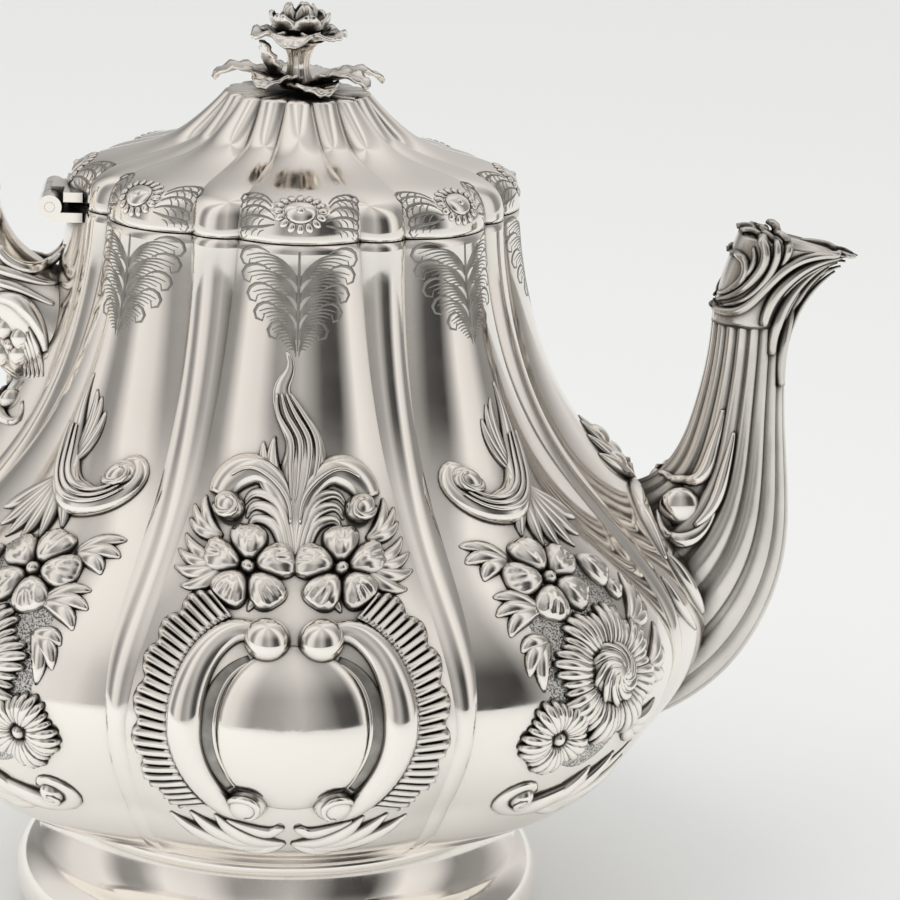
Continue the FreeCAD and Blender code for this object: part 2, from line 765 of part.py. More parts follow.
volute_length = "2 * (lip_width + collar_overhang)"
VOLUTE = MOUTH + MOUTH_BACK * size("lip_half") + Vector(
    size("volute_radius") * 0.3, -value(volute_length) / 2, -size("volute_radius") * 1.25)
mouth_blank = fuse("mouth_blank", [
    feature("mouth_outer", mouth_casting(0, 0, 0)),
    cylinder("mouth_volute", "volute_radius", volute_length, along(VOLUTE, SIDEWAYS)),
])
mouth_way = feature(
    "mouth_way", mouth_casting(size("lip_wall"), size("lip_wall") * 2, -size("lip_wall")))
spout_mouth = cut("spout_mouth", mouth_blank, mouth_way)


# Handle, its sockets, insulators and rivets

def heading(lean):
    turn = math.radians(size(lean))
    return Vector(-math.sin(turn), 0, math.cos(turn))


UPPER = Vector(-value("mouth_radius + upper_joint_gap"), 0, SEAM + size("upper_joint_rise"))
LOWER = Vector(-value("belly_radius + lower_joint_gap"), 0, SEAM - size("lower_joint_drop"))
UPPER_AXIS = heading("upper_lean")
LOWER_AXIS = heading("lower_lean")
HALF_DISC = size("insulator_thickness") / 2
RUN = HALF_DISC + size("handle_straight")
END = size("handle_end_radius")


def insulator(name, point, axis):
    body = turned(name, [
        ("0", "0 - insulator_thickness / 2 - tenon_length"),
        ("tenon_radius", "0 - insulator_thickness / 2 - tenon_length"),
        ("tenon_radius", "0 - insulator_thickness / 2"),
        ("handle_end_radius", "0 - insulator_thickness / 2"),
        ("handle_end_radius", "insulator_thickness / 2", "insulator_radius", "0"),
        ("tenon_radius", "insulator_thickness / 2"),
        ("tenon_radius", "insulator_thickness / 2 + tenon_length"),
        ("0", "insulator_thickness / 2 + tenon_length"),
    ])
    body.Placement = along(point, axis)
    return body


def rivet_spots(point, axis):
    step = HALF_DISC + size("tenon_length") / 2
    return [point + axis * step, point - axis * step]


RIVETS = rivet_spots(UPPER, UPPER_AXIS) + rivet_spots(LOWER, LOWER_AXIS)


def rivet(name, spot, radius, length):
    return cylinder(name, radius, length, along(spot - SIDEWAYS * value(length) / 2, SIDEWAYS))


rivet_holes = group(
    "rivet_holes",
    [rivet("rivet_hole", spot, "pin_radius + tenon_fit", "2 * pin_length") for spot in RIVETS])
insulator_pins = group(
    "insulator_pins", [rivet("insulator_pin", spot, "pin_radius", "pin_length") for spot in RIVETS])


def tenon_hole(name, point, axis):
    """Hole for both tenons of one insulator."""
    length = "insulator_thickness + 2 * (tenon_length + tenon_fit)"
    return cylinder(name, "tenon_radius + tenon_fit", length, along(point - axis * (value(length) / 2), axis))


tenon_holes = group("tenon_holes", [
    tenon_hole("upper_tenon_hole", UPPER, UPPER_AXIS),
    tenon_hole("lower_tenon_hole", LOWER, LOWER_AXIS),
])
joint_cuts = group("joint_cuts", [rivet_holes, tenon_holes])

upper_insulator = cut("upper_insulator", insulator("upper_disc", UPPER, UPPER_AXIS), rivet_holes)
lower_insulator = cut("lower_insulator", insulator("lower_disc", LOWER, LOWER_AXIS), rivet_holes)

grip_points = [
    UPPER + UPPER_AXIS * HALF_DISC,
    UPPER + UPPER_AXIS * RUN,
    UPPER + Vector(-size("handle_top_gap"), 0, value("handle_top_rise - upper_joint_rise")),
    LOWER + Vector(-size("handle_back_gap"), 0, value("lower_joint_drop - handle_back_drop")),
    LOWER + Vector(-size("handle_heel_gap"), 0, value("lower_joint_drop - handle_heel_drop")),
    LOWER + LOWER_AXIS * RUN,
    LOWER + LOWER_AXIS * HALF_DISC,
]
GRIP = size("handle_radius")
grip_tube = feature("grip_tube", tube(
    grip_points, [END, END, GRIP, GRIP, GRIP, END, END], UPPER_AXIS, -LOWER_AXIS))
thumb_spot = grip_points[2] + Vector(0, -size("thumb_width") / 2, GRIP)
thumb_scroll = cylinder("thumb_scroll", "thumb_radius", "thumb_width", along(thumb_spot, SIDEWAYS))
grip_blank = fuse("grip_blank", [grip_tube, thumb_scroll])
handle_grip = cut("handle_grip", grip_blank, joint_cuts)

upper_socket_points = [
    UPPER - UPPER_AXIS * HALF_DISC,
    UPPER - UPPER_AXIS * RUN,
    Vector(-value("throat_radius + upper_socket_gap"), 0, SEAM - size("upper_socket_drop")),
    Vector(-value("throat_radius - root_bite"), 0, SEAM - size("upper_root_drop")),
]
upper_socket_tube = feature("upper_socket_tube", tube(
    upper_socket_points, [END, END, size("upper_socket_radius"), size("upper_root_radius")],
    -UPPER_AXIS, upper_socket_points[-1] - upper_socket_points[-2]))
upper_socket_seat = cut("upper_socket_seat", upper_socket_tube, body_outer)
upper_handle_socket = cut("upper_handle_socket", upper_socket_seat, joint_cuts)

lower_socket_points = [
    LOWER - LOWER_AXIS * HALF_DISC,
    LOWER - LOWER_AXIS * RUN,
    Vector(-value("belly_radius - root_bite"), 0, SEAM - size("lower_root_drop")),
]
lower_socket_tube = feature("lower_socket_tube", tube(
    lower_socket_points, [END, END, size("lower_root_radius")],
    -LOWER_AXIS, lower_socket_points[-1] - lower_socket_points[-2]))
lower_socket_bored = cut("lower_socket_bored", lower_socket_tube, joint_cuts)
lower_handle_socket = cut("lower_handle_socket", lower_socket_bored, body_outer)


# Check and write

SUB_PARTS = [
    body_shell, foot, foot_rim, lid_dome, lid_bezel, finial_leaves, finial_stem, finial_bloom,
    finial_washer, finial_nut, hinge_body_leaf, hinge_lid_leaf, hinge_pin, spout, spout_mouth,
    upper_handle_socket, lower_handle_socket, upper_insulator, lower_insulator, insulator_pins,
    handle_grip,
]

doc.recompute()
for item in doc.Objects:
    if "Invalid" in item.State or "Error" in item.State:
        raise RuntimeError(f"{item.Name} did not build: {item.State}")
os.makedirs("parts", exist_ok=True)
for item in SUB_PARTS:
    shape = item.Shape
    if shape.isNull() or not shape.isValid():
        raise RuntimeError(f"{item.Label} has no sound shape")
    shape.exportStep(os.path.join("parts", item.Label + ".step"))
    print(f"{item.Label}: {len(shape.Solids)} solid, {shape.Volume:.0f} mm3")
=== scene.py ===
# %% [markdown]
# # A silver pot with melon lobes
#
# The real pot is raised from silver sheet. Its lobes are hammered up from inside, its flowers and
# scrolls are chased into the wall, and its spout, handle sockets and finial are cast and soldered on.
# The measured model gives every piece its place. This lesson makes the smooth, ornamented surfaces
# that the photograph shows, and puts them on the same bodies.

import math

import bmesh
import bpy
import numpy as np
from mathutils import Matrix, Vector
from mathutils.bvhtree import BVHTree


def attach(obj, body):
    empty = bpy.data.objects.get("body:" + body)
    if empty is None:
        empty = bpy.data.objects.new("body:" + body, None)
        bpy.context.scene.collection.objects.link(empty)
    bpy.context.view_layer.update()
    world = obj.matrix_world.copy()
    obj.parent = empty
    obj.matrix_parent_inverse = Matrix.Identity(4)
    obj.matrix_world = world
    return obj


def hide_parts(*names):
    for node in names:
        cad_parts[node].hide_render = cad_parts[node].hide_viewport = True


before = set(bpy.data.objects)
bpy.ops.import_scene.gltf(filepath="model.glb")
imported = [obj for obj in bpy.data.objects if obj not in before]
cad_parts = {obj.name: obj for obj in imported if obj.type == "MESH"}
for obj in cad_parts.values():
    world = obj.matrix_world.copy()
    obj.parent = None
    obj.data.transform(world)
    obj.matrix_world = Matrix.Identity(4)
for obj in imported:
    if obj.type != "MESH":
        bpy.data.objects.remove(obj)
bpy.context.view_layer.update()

# %% [markdown]
# ## Silver
#
# Old silver is bright where a cloth reaches it and brown to black where it does not. The polish is
# a metal with a little uneven roughness. The tarnish is put where the surface is crowded by other
# surfaces, so it settles into chased lines and behind petals by itself.


# %% Helpers for finishes
def wire(tree, *joins):
    """Links nodes. A join is (node, its output, the next node, its input)."""
    for node, output, following, entry in joins:
        tree.links.new(node.outputs[output], following.inputs[entry])


def ramp(tree, low, high, first, last):
    """Map Range node that carries low..high to first..last and stops there."""
    node = tree.nodes.new("ShaderNodeMapRange")
    node.interpolation_type = "SMOOTHSTEP"
    for label, number in (("From Min", low), ("From Max", high), ("To Min", first), ("To Max", last)):
        node.inputs[label].default_value = number
    return node


def blotches(tree, scale, detail):
    """Noise in the object's own coordinates."""
    place = tree.nodes.new("ShaderNodeTexCoord")
    node = tree.nodes.new("ShaderNodeTexNoise")
    node.inputs["Scale"].default_value = scale
    node.inputs["Detail"].default_value = detail
    wire(tree, (place, "Object", node, "Vector"))
    return node


def sum_node(tree, operation, number=0.0):
    """Math node. The number is its second input, unless that input is linked."""
    node = tree.nodes.new("ShaderNodeMath")
    node.operation = operation
    node.inputs[1].default_value = number
    return node


def colour_mix(tree, first, second):
    node = tree.nodes.new("ShaderNodeMix")
    node.data_type = "RGBA"
    node.inputs["A"].default_value = first
    node.inputs["B"].default_value = second
    return node


def dent_node(tree, strength, depth):
    """Bump node; the depth is in metres."""
    node = tree.nodes.new("ShaderNodeBump")
    node.inputs["Strength"].default_value = strength
    node.inputs["Distance"].default_value = depth
    return node


def new_material(name, metallic, roughness=0.5):
    """Material with one shader, and that shader."""
    material = bpy.data.materials.new(name)
    material.use_nodes = True
    shader = material.node_tree.nodes["Principled BSDF"]
    shader.inputs["Metallic"].default_value = metallic
    shader.inputs["Roughness"].default_value = roughness
    return material, shader


# %% Shared effect group
POLISH = (0.955, 0.91, 0.855, 1)
TARNISH = (0.075, 0.066, 0.056, 1)
PATCHINESS = 0.14
TARNISHED_AT = 0.46
CLEAN_AT = 0.98
SMOOTHEST = 0.06
ROUGHEST = 0.13
TARNISH_DULLS = 0.4


def new_group(name, inputs, outputs):
    group = bpy.data.node_groups.new(name, "ShaderNodeTree")
    for label, kind in inputs:
        group.interface.new_socket(label, in_out="INPUT", socket_type=kind)
    for label, kind in outputs:
        group.interface.new_socket(label, in_out="OUTPUT", socket_type=kind)
    return group, group.nodes.new("NodeGroupInput"), group.nodes.new("NodeGroupOutput")


def silver_group():
    """Old silver, from how open the surface is: colour, roughness, and height of small dents."""
    group, ins, outs = new_group(
        "old_silver", [("Openness", "NodeSocketFloat"), ("Grime", "NodeSocketFloat")],
        [("Colour", "NodeSocketColor"), ("Roughness", "NodeSocketFloat"), ("Height", "NodeSocketFloat")])
    patches = blotches(group, scale=90, detail=3)
    drift = sum_node(group, "MULTIPLY_ADD", PATCHINESS)
    clean = sum_node(group, "SUBTRACT")
    dirt = ramp(group, TARNISHED_AT, CLEAN_AT, 1.0, 0.0)
    mix = colour_mix(group, POLISH, TARNISH)
    smears = blotches(group, scale=240, detail=5)
    rough = ramp(group, 0.3, 0.7, SMOOTHEST, ROUGHEST)
    dull = sum_node(group, "MULTIPLY_ADD", TARNISH_DULLS)
    dents = blotches(group, scale=70, detail=2)
    wire(group,
         (patches, "Fac", drift, 0),
         (ins, "Openness", drift, 2),
         (drift, 0, clean, 0),
         (ins, "Grime", clean, 1),
         (clean, 0, dirt, "Value"),
         (dirt, "Result", mix, "Factor"),
         (mix, "Result", outs, "Colour"),
         (smears, "Fac", rough, "Value"),
         (dirt, "Result", dull, 0),
         (rough, "Result", dull, 2),
         (dull, 0, outs, "Roughness"),
         (dents, "Fac", outs, "Height"))
    return group


SILVER_GROUP = silver_group()
print("effect group:", SILVER_GROUP.name)

# %% Silver for plain walls and for ornament
DENT_DEPTH = 0.0004


def silver(name, reach, dented, grime):
    """Metal whose recesses, up to the reach in metres, are tarnished; grime spreads the tarnish."""
    material, shader = new_material(name, metallic=1.0)
    tree = material.node_tree
    crowding = tree.nodes.new("ShaderNodeAmbientOcclusion")
    crowding.samples = 6
    crowding.inputs["Distance"].default_value = reach
    old_silver = tree.nodes.new("ShaderNodeGroup")
    old_silver.node_tree = SILVER_GROUP
    old_silver.inputs["Grime"].default_value = grime
    dents = dent_node(tree, dented, DENT_DEPTH)
    wire(tree,
         (crowding, "AO", old_silver, "Openness"),
         (old_silver, "Colour", shader, "Base Color"),
         (old_silver, "Roughness", shader, "Roughness"),
         (old_silver, "Height", dents, "Height"),
         (dents, "Normal", shader, "Normal"))
    return material


WALL_SILVER = silver("wall_silver", 0.0035, 0.10, 0.0)
CAST_SILVER = silver("cast_silver", 0.0032, 0.22, 0.05)
REEDED_SILVER = silver("reeded_silver", 0.0050, 0.22, 0.24)
print("silver finishes:", WALL_SILVER.name, CAST_SILVER.name, REEDED_SILVER.name)


# %% Engraved lines and painted channel shade, ivory and stippled ground
def mottled(name, metallic, roughness, colours, scale, detail):
    """Finish that goes from one colour to another in blotches, with its blotches and its mix."""
    material, shader = new_material(name, metallic, roughness)
    spots = blotches(material.node_tree, scale, detail)
    shade = colour_mix(material.node_tree, *colours)
    wire(material.node_tree, (spots, "Fac", shade, "Factor"), (shade, "Result", shader, "Base Color"))
    return material, spots, shade


def stippled():
    """Ground punched all over with a blunt point: many small dull dents."""
    material, dots, shade = mottled(
        "stippled_silver", 1.0, 0.34, ((0.16, 0.15, 0.135, 1), (0.80, 0.78, 0.76, 1)), scale=3000, detail=1)
    tree = material.node_tree
    contrast = ramp(tree, 0.36, 0.56, 0.0, 1.0)
    dents = dent_node(tree, strength=0.8, depth=0.0003)
    wire(tree,
         (dots, "Fac", contrast, "Value"),
         (contrast, "Result", shade, "Factor"),
         (dots, "Fac", dents, "Height"),
         (dents, "Normal", tree.nodes["Principled BSDF"], "Normal"))
    return material


# Dark tones of the cut lines; the same finish paints the shade in the channels beside the front shield.
CUT_LINE_AND_SHADE = ((0.18, 0.17, 0.155, 1), (0.52, 0.50, 0.47, 1))
BONE = ((0.78, 0.70, 0.55, 1), (0.88, 0.83, 0.71, 1))
ENGRAVED_AND_SHADE = mottled("engraved_and_shade_silver", 1.0, 0.45, CUT_LINE_AND_SHADE, scale=400, detail=2)[0]
IVORY = mottled("ivory", 0.0, 0.28, BONE, scale=500, detail=3)[0]
STIPPLED = stippled()
print("other finishes:", ENGRAVED_AND_SHADE.name, IVORY.name, STIPPLED.name)

# %% [markdown]
# ## Curves and pieces
#
# Everything below is drawn in millimetres. One smooth curve through a few points serves for the
# pot's outline, the middle line of the spout and every chased scroll. One function turns a finished
# form into a piece that rides on the pot or on the lid.

# %% A smooth curve, and a finished piece
MM = 0.001


def end_slope(near, middle, far, first, second):
    """Slope at the near end of the parabola through three points."""
    steep = (middle - near) / first
    later = (far - middle) / second
    return steep + (steep - later) * first / (first + second)


def smooth_curve(points):
    """Cubic through the points. The curve is called with a share from 0 to 1 of its length."""
    knots = np.array(points, dtype=float)
    steps = np.linalg.norm(np.diff(knots, axis=0), axis=1)
    places = np.concatenate(([0.0], np.cumsum(steps)))
    count = len(knots)
    system = np.eye(count)
    goal = np.zeros_like(knots)
    if count > 2:
        goal[0] = end_slope(knots[0], knots[1], knots[2], steps[0], steps[1])
        goal[-1] = end_slope(knots[-1], knots[-2], knots[-3], steps[-1], steps[-2]) * -1
    else:
        goal[:] = (knots[1] - knots[0]) / steps[0]
    for row in range(1, count - 1):
        before, after = steps[row - 1], steps[row]
        system[row, row - 1:row + 2] = 1 / before, 2 / before + 2 / after, 1 / after
        rise_before = (knots[row] - knots[row - 1]) / before ** 2
        rise_after = (knots[row + 1] - knots[row]) / after ** 2
        goal[row] = 3 * (rise_before + rise_after)
    slopes = np.linalg.solve(system, goal)

    def at(share):
        place = min(max(share, 0.0), 1.0) * places[-1]
        row = min(int(np.searchsorted(places, place, side="right")) - 1, count - 2)
        step = steps[row]
        part = (place - places[row]) / step
        rest = 1 - part
        return (knots[row] * (1 + 2 * part) * rest ** 2 + knots[row + 1] * (3 - 2 * part) * part ** 2
                + slopes[row] * step * part * rest ** 2 - slopes[row + 1] * step * part ** 2 * rest)

    return at


def make_piece(name, form, rides_on, finish, stands_for=()):
    """Turns a form in millimetres into a smooth piece in metres."""
    bmesh.ops.remove_doubles(form, verts=form.verts, dist=1e-5)
    bmesh.ops.recalc_face_normals(form, faces=form.faces)
    bmesh.ops.scale(form, vec=(MM, MM, MM), verts=form.verts)
    for face in form.faces:
        face.smooth = True
    open_edges = sum(edge.is_boundary for edge in form.edges)
    mesh = bpy.data.meshes.new(name)
    form.to_mesh(mesh)
    form.free()
    item = bpy.data.objects.new(name, mesh)
    bpy.context.scene.collection.objects.link(item)
    mesh.materials.append(finish)
    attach(item, rides_on)
    if stands_for:
        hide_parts(*stands_for)
    print(f"{name}: {len(mesh.polygons)} faces, {open_edges} open edges")
    return item


# %% [markdown]
# ## Lobed wall
#
# The wall is a turned form that was hammered out into eight lobes, with a narrow rib between two
# lobes. Here the outline is spun, and each vertex is then moved out or in by the lobed section at
# its height, which is the same order of work.

# %% Level sections
LOBES = 8
SECTOR = 360 / LOBES
SEAM = 141.0
BELLY = 63.0
TUCK = 45.0
BASE = 28.0
SEAM_RADIUS = 42.2
BELLY_RADIUS = 82
BASE_RADIUS = 41
WALL = 1.1
LOBE_COLUMNS = 22
RIB_COLUMNS = 6
SECTOR_COLUMNS = LOBE_COLUMNS + RIB_COLUMNS
COLUMNS = LOBES * SECTOR_COLUMNS


def arc_radius(top, valley, half, turn):
    """Distance from the axis to an arc that is at top in its middle and at valley half a width away."""
    middle = (valley ** 2 - top ** 2) / (2 * (valley * math.cos(half) - top))
    bow = top - middle
    return middle * math.cos(turn) + math.sqrt(bow ** 2 - (middle * math.sin(turn)) ** 2)


class Section:
    """How deep the lobes are and how the ribs stand, by height."""

    def __init__(self, depths, rises, ribs):
        self.depths, self.rises, self.ribs = depths, rises, ribs

    @staticmethod
    def blend(height, stations):
        ordered = sorted(stations)
        return float(np.interp(height, [low for low, number in ordered],
                               [number for low, number in ordered]))

    def rib(self, height):
        return self.blend(height, self.ribs)

    def radius(self, crown, height, turn):
        """Radius of the wall, turn degrees away from the middle of a lobe."""
        turn = (turn + SECTOR / 2) % SECTOR - SECTOR / 2
        rib = self.rib(height)
        valley = crown - self.blend(height, self.depths)
        side = SECTOR / 2 - rib
        if abs(turn) <= side:
            return arc_radius(crown, valley, math.radians(side), math.radians(turn))
        top = valley + self.blend(height, self.rises)
        return arc_radius(top, valley, math.radians(rib), math.radians(SECTOR / 2 - abs(turn)))


BODY_SECTION = Section(
    depths=[(SEAM, 3.0), (BELLY, 3.2), (TUCK, 4.8), (BASE, 0.8)],
    rises=[(SEAM, 1.6), (BASE, 0.2)],
    ribs=[(SEAM, 6.5), (BELLY, 1.3)])
LID_SHOULDER = SEAM + 5.4
LID_WAIST = SEAM + 13.1
LID_TOP = SEAM + 20.9
LID_SECTION = Section(
    depths=[(LID_SHOULDER, 3.0), (LID_WAIST, 3.6), (LID_TOP, 1.1)],
    rises=[(LID_SHOULDER, 1.6), (LID_TOP, 1.1)],
    ribs=[(LID_SHOULDER, 6.5), (LID_TOP, SECTOR / 4)])
valley_turn = SECTOR / 2 - BODY_SECTION.rib(BELLY)
print("radius at the belly, crown and valley:",
      [round(BODY_SECTION.radius(BELLY_RADIUS, BELLY, turn), 1) for turn in (0, valley_turn)])


# %% Spinning an outline and hammering it into lobes
def spin_outline(outline, columns):
    """Turned form about Z from a list of (radius, height)."""
    form = bmesh.new()
    line = [form.verts.new((radius, 0, height)) for radius, height in outline]
    edges = [form.edges.new(pair) for pair in zip(line, line[1:])]
    bmesh.ops.spin(
        form, geom=line + edges, cent=(0, 0, 0), axis=(0, 0, 1), dvec=(0, 0, 0),
        angle=2 * math.pi, steps=columns, use_merge=True, use_duplicate=False)
    bmesh.ops.remove_doubles(form, verts=form.verts, dist=1e-4)
    return form


def hammer_lobes(form, section, flat):
    """Moves each column of a spun form to its place across a lobe or a rib. Inside flat it stays round."""
    crease = {}
    for vert in form.verts:
        reach = math.hypot(vert.co.x, vert.co.y)
        if reach < flat:
            continue
        column = round(math.degrees(math.atan2(vert.co.y, vert.co.x)) / 360 * COLUMNS) % COLUMNS
        sector, place = divmod(column, SECTOR_COLUMNS)
        rib = section.rib(vert.co.z)
        side = SECTOR / 2 - rib
        if place <= LOBE_COLUMNS:
            turn = side * (2 * place / LOBE_COLUMNS - 1)
        else:
            turn = side + 2 * rib * (place - LOBE_COLUMNS) / RIB_COLUMNS
        if place in (0, LOBE_COLUMNS):
            crease[vert] = column
        radius = section.radius(reach, vert.co.z, turn)
        angle = math.radians(sector * SECTOR + turn)
        vert.co.x, vert.co.y = radius * math.cos(angle), radius * math.sin(angle)
    for edge in form.edges:
        first, second = edge.verts
        if first in crease and crease[first] == crease.get(second):
            edge.smooth = False


def offset_line(outline, inset):
    """The outline moved inwards, square to itself."""
    points = np.array(outline)
    ahead = np.gradient(points, axis=0)
    ahead /= np.linalg.norm(ahead, axis=1)[:, None]
    return points + inset * np.stack([-ahead[:, 1], ahead[:, 0]], axis=1)


def sampled(points, count):
    curve = smooth_curve(points)
    return [tuple(curve(step / (count - 1))) for step in range(count)]


# %% Body wall
CROWN = [(SEAM_RADIUS, SEAM), (44.6, 125), (56.6, 99), (BELLY_RADIUS, BELLY), (74.8, TUCK),
         (63, 34), (BASE_RADIUS, BASE)]
BODY_ROWS = 96
crown_line = sampled(CROWN, BODY_ROWS)
inner_line = [tuple(point) for point in offset_line(crown_line, -WALL)]
inner_line[0] = (crown_line[0][0] - WALL, SEAM)
body_form = spin_outline(
    [(0, BASE)] + crown_line[::-1] + inner_line + [(0, inner_line[-1][1])], COLUMNS)
hammer_lobes(body_form, BODY_SECTION, flat=12)
body_wall = make_piece("body_wall", body_form, "pot", WALL_SILVER, ["body_shell"])

# %% Lid
LID_GAP = 0.3
LID_CROWN = [(SEAM_RADIUS, SEAM + LID_GAP), (40.9, LID_SHOULDER), (33.6, SEAM + 8.9), (22, LID_WAIST),
             (17.8, SEAM + 16.4), (13.4, LID_TOP)]
LID_ROWS = 56
lid_line = sampled(LID_CROWN, LID_ROWS)
lid_inside = [tuple(point) for point in offset_line(lid_line, WALL)]
lid_inside[0] = (lid_line[0][0] - WALL, SEAM + LID_GAP)
lid_inside[-1] = (lid_line[-1][0] - WALL / 2, LID_TOP - WALL)
lid_form = spin_outline(
    [(0, LID_TOP)] + lid_line[::-1] + lid_inside + [(0, LID_TOP - WALL)], COLUMNS)
hammer_lobes(lid_form, LID_SECTION, flat=5)
make_piece("lid_wall", lid_form, "lid", WALL_SILVER, ["lid_dome"])


# %% [markdown]
# ## Foot
#
# The foot is spun on a lathe: a full round bead, a sharp step, a hollow and a thin ring under the body.
# Its mouldings are arcs through three points, as the tools that turn them are round too. The outline
# goes up the outside and down the inside, so one spin makes a closed ring.


# %% Turned foot
def arc_line(start, via, finish, count):
    """Points of the arc from start through via to finish."""
    (ax, ay), (bx, by), (cx, cy) = start, via, finish
    spread = 2 * (ax * (by - cy) + bx * (cy - ay) + cx * (ay - by))
    a, b, c = ax * ax + ay * ay, bx * bx + by * by, cx * cx + cy * cy
    ux = (a * (by - cy) + b * (cy - ay) + c * (ay - by)) / spread
    uy = (a * (cx - bx) + b * (ax - cx) + c * (bx - ax)) / spread
    radius = math.hypot(ax - ux, ay - uy)
    turns = np.unwrap([math.atan2(y - uy, x - ux) for x, y in (start, via, finish)])
    steps = np.linspace(turns[0], turns[2], count)
    return [(ux + radius * math.cos(turn), uy + radius * math.sin(turn)) for turn in steps]


FOOT_WALL = 1.8
FOOT_COLUMNS = 192
SHARP = math.radians(32)
foot_line = arc_line((48.55, 2.6), (51.2, 9.2), (47, 15.4), 26)
foot_line += [(46.5, 15.9)]
foot_line += arc_line((46.4, 16.0), (44.3, 18.6), (42.8, 22.6), 16)
foot_line += arc_line((42.8, 22.9), (44.3, 24.5), (42.8, 26.2), 14)
foot_line += [(42.2, 26.6), (BASE_RADIUS, BASE), (BASE_RADIUS - FOOT_WALL, BASE), (41, 22.6), (42.6, 18.6),
              (45.2, 15.4), (49.2, 9.2), (46.8, 2.6), (48.55, 2.6)]
foot_form = spin_outline(foot_line, FOOT_COLUMNS)
for edge in foot_form.edges:
    if len(edge.link_faces) == 2 and edge.calc_face_angle(0) > SHARP:
        edge.smooth = False
make_piece("turned_foot", foot_form, "pot", WALL_SILVER, ["foot"])

# %% [markdown]
# ## Chasing
#
# The ornament is hammered up from the wall and then worked from the front with small punches. Each
# form is drawn flat first, as distance across the lobe, distance down the wall from the seam, and
# height. Then it is laid on the lobe, so that it follows the curve of the wall.


# %% Laying a drawing on a lobe
class Wall:
    """A lobed wall, followed from the seam along its crown outline."""

    def __init__(self, line, section):
        points = np.array(line)
        steps = np.linalg.norm(np.diff(points, axis=0), axis=1)
        self.lengths = np.concatenate(([0.0], np.cumsum(steps)))
        self.radii, self.heights = points[:, 0], points[:, 1]
        self.section = section
        self.rising = points[-1, 1] > points[0, 1]

    def spot(self, across, away):
        """Point by distance across the lobe that faces +X, and away from the seam."""
        crown = float(np.interp(away, self.lengths, self.radii))
        height = float(np.interp(away, self.lengths, self.heights))
        turn = across / crown
        radius = self.section.radius(crown, height, math.degrees(turn))
        return Vector((radius * math.cos(turn), radius * math.sin(turn), height))

    def lay(self, drawing, mirrored=False):
        """Flat drawing bent onto the lobe that faces +X."""
        form = drawing.copy()
        nudge = 0.15
        for vert in form.verts:
            across, away, lift = vert.co
            across = -across if mirrored else across
            spot = self.spot(across, away)
            side = self.spot(across + nudge, away) - spot
            further = self.spot(across, away + nudge) - spot
            outward = side.cross(further) if self.rising else further.cross(side)
            vert.co = spot + outward.normalized() * lift
        return form

    def depth(self, spot):
        """How far inside the wall a point is, measured level."""
        order = np.argsort(self.heights)
        crown = float(np.interp(spot.z, self.heights[order], self.radii[order]))
        turn = math.degrees(math.atan2(spot.y, spot.x))
        return self.section.radius(crown, spot.z, turn) - math.hypot(spot.x, spot.y)


def turned(form, lobe):
    """Copy for the lobe at that angle, as all lobes are alike."""
    copy = form.copy()
    spin = Matrix.Rotation(math.radians(lobe), 3, "Z")
    bmesh.ops.rotate(copy, cent=(0, 0, 0), matrix=spin, verts=copy.verts)
    return copy


BODY = Wall(crown_line, BODY_SECTION)
LID = Wall(lid_line, LID_SECTION)
print("crown from seam to foot:", round(float(BODY.lengths[-1]), 1), "mm")


# %% Rings, balls and joined forms
def listed_once(items):
    """The items without repeats, in their first order, so that every run gives the same result."""
    return list(dict.fromkeys(items))


def first_ring(form, count):
    """Circle that a skin grows from: its points and its edges."""
    ring = bmesh.ops.create_circle(form, segments=count, radius=1)["verts"]
    return ring, listed_once(edge for vert in ring for edge in vert.link_edges)


def next_ring(form, edges):
    """Grows a skin from the edges of its last ring: the new ring's points and edges."""
    grown = bmesh.ops.extrude_edge_only(form, edges=edges)["geom"]
    ring = [item for item in grown if isinstance(item, bmesh.types.BMVert)]
    rim = set(ring)
    rims = [item for item in grown if isinstance(item, bmesh.types.BMEdge) and rim.issuperset(item.verts)]
    return ring, rims


def ball(form, rows, radius=1.0):
    return bmesh.ops.create_uvsphere(form, u_segments=2 * rows, v_segments=rows, radius=radius)["verts"]


def join(form, part):
    """Adds a copy of a part to a form."""
    mesh = bpy.data.meshes.new("part")
    part.to_mesh(mesh)
    form.from_mesh(mesh)
    bpy.data.meshes.remove(mesh)


def both_sides(draw, flip=(-1, 1, 1)):
    """Draws a half, and adds its mirror image."""
    form = bmesh.new()
    half = bmesh.new()
    draw(half)
    other = half.copy()
    bmesh.ops.scale(other, vec=flip, verts=other.verts)
    bmesh.ops.reverse_faces(other, faces=other.faces)
    for part in (half, other):
        join(form, part)
        part.free()
    return form


# %% Beads and strands
UNDERSIDE = 0.3
STRAND_UNDERSIDE = 0.25
THINNEST = 0.04


def set_down(form, verts, spot, turn, sizes):
    """Stretches a unit ball to its sizes, turns it and moves it to a spot of the drawing."""
    matrix = (Matrix.Translation((spot[0], spot[1], 0)) @ Matrix.Rotation(turn, 4, "Z")
              @ Matrix.Diagonal((*sizes, 1)))
    bmesh.ops.transform(form, matrix=matrix, verts=verts)


def bead(form, spot, along, across, height, turn=0.0, rows=8):
    """Flattened ball. Its underside is shallow, so that it does not come through the wall."""
    made = ball(form, rows)
    for vert in made:
        if vert.co.z < 0:
            vert.co.z *= UNDERSIDE / max(height, UNDERSIDE)
    set_down(form, made, spot, turn, (along, across, height))


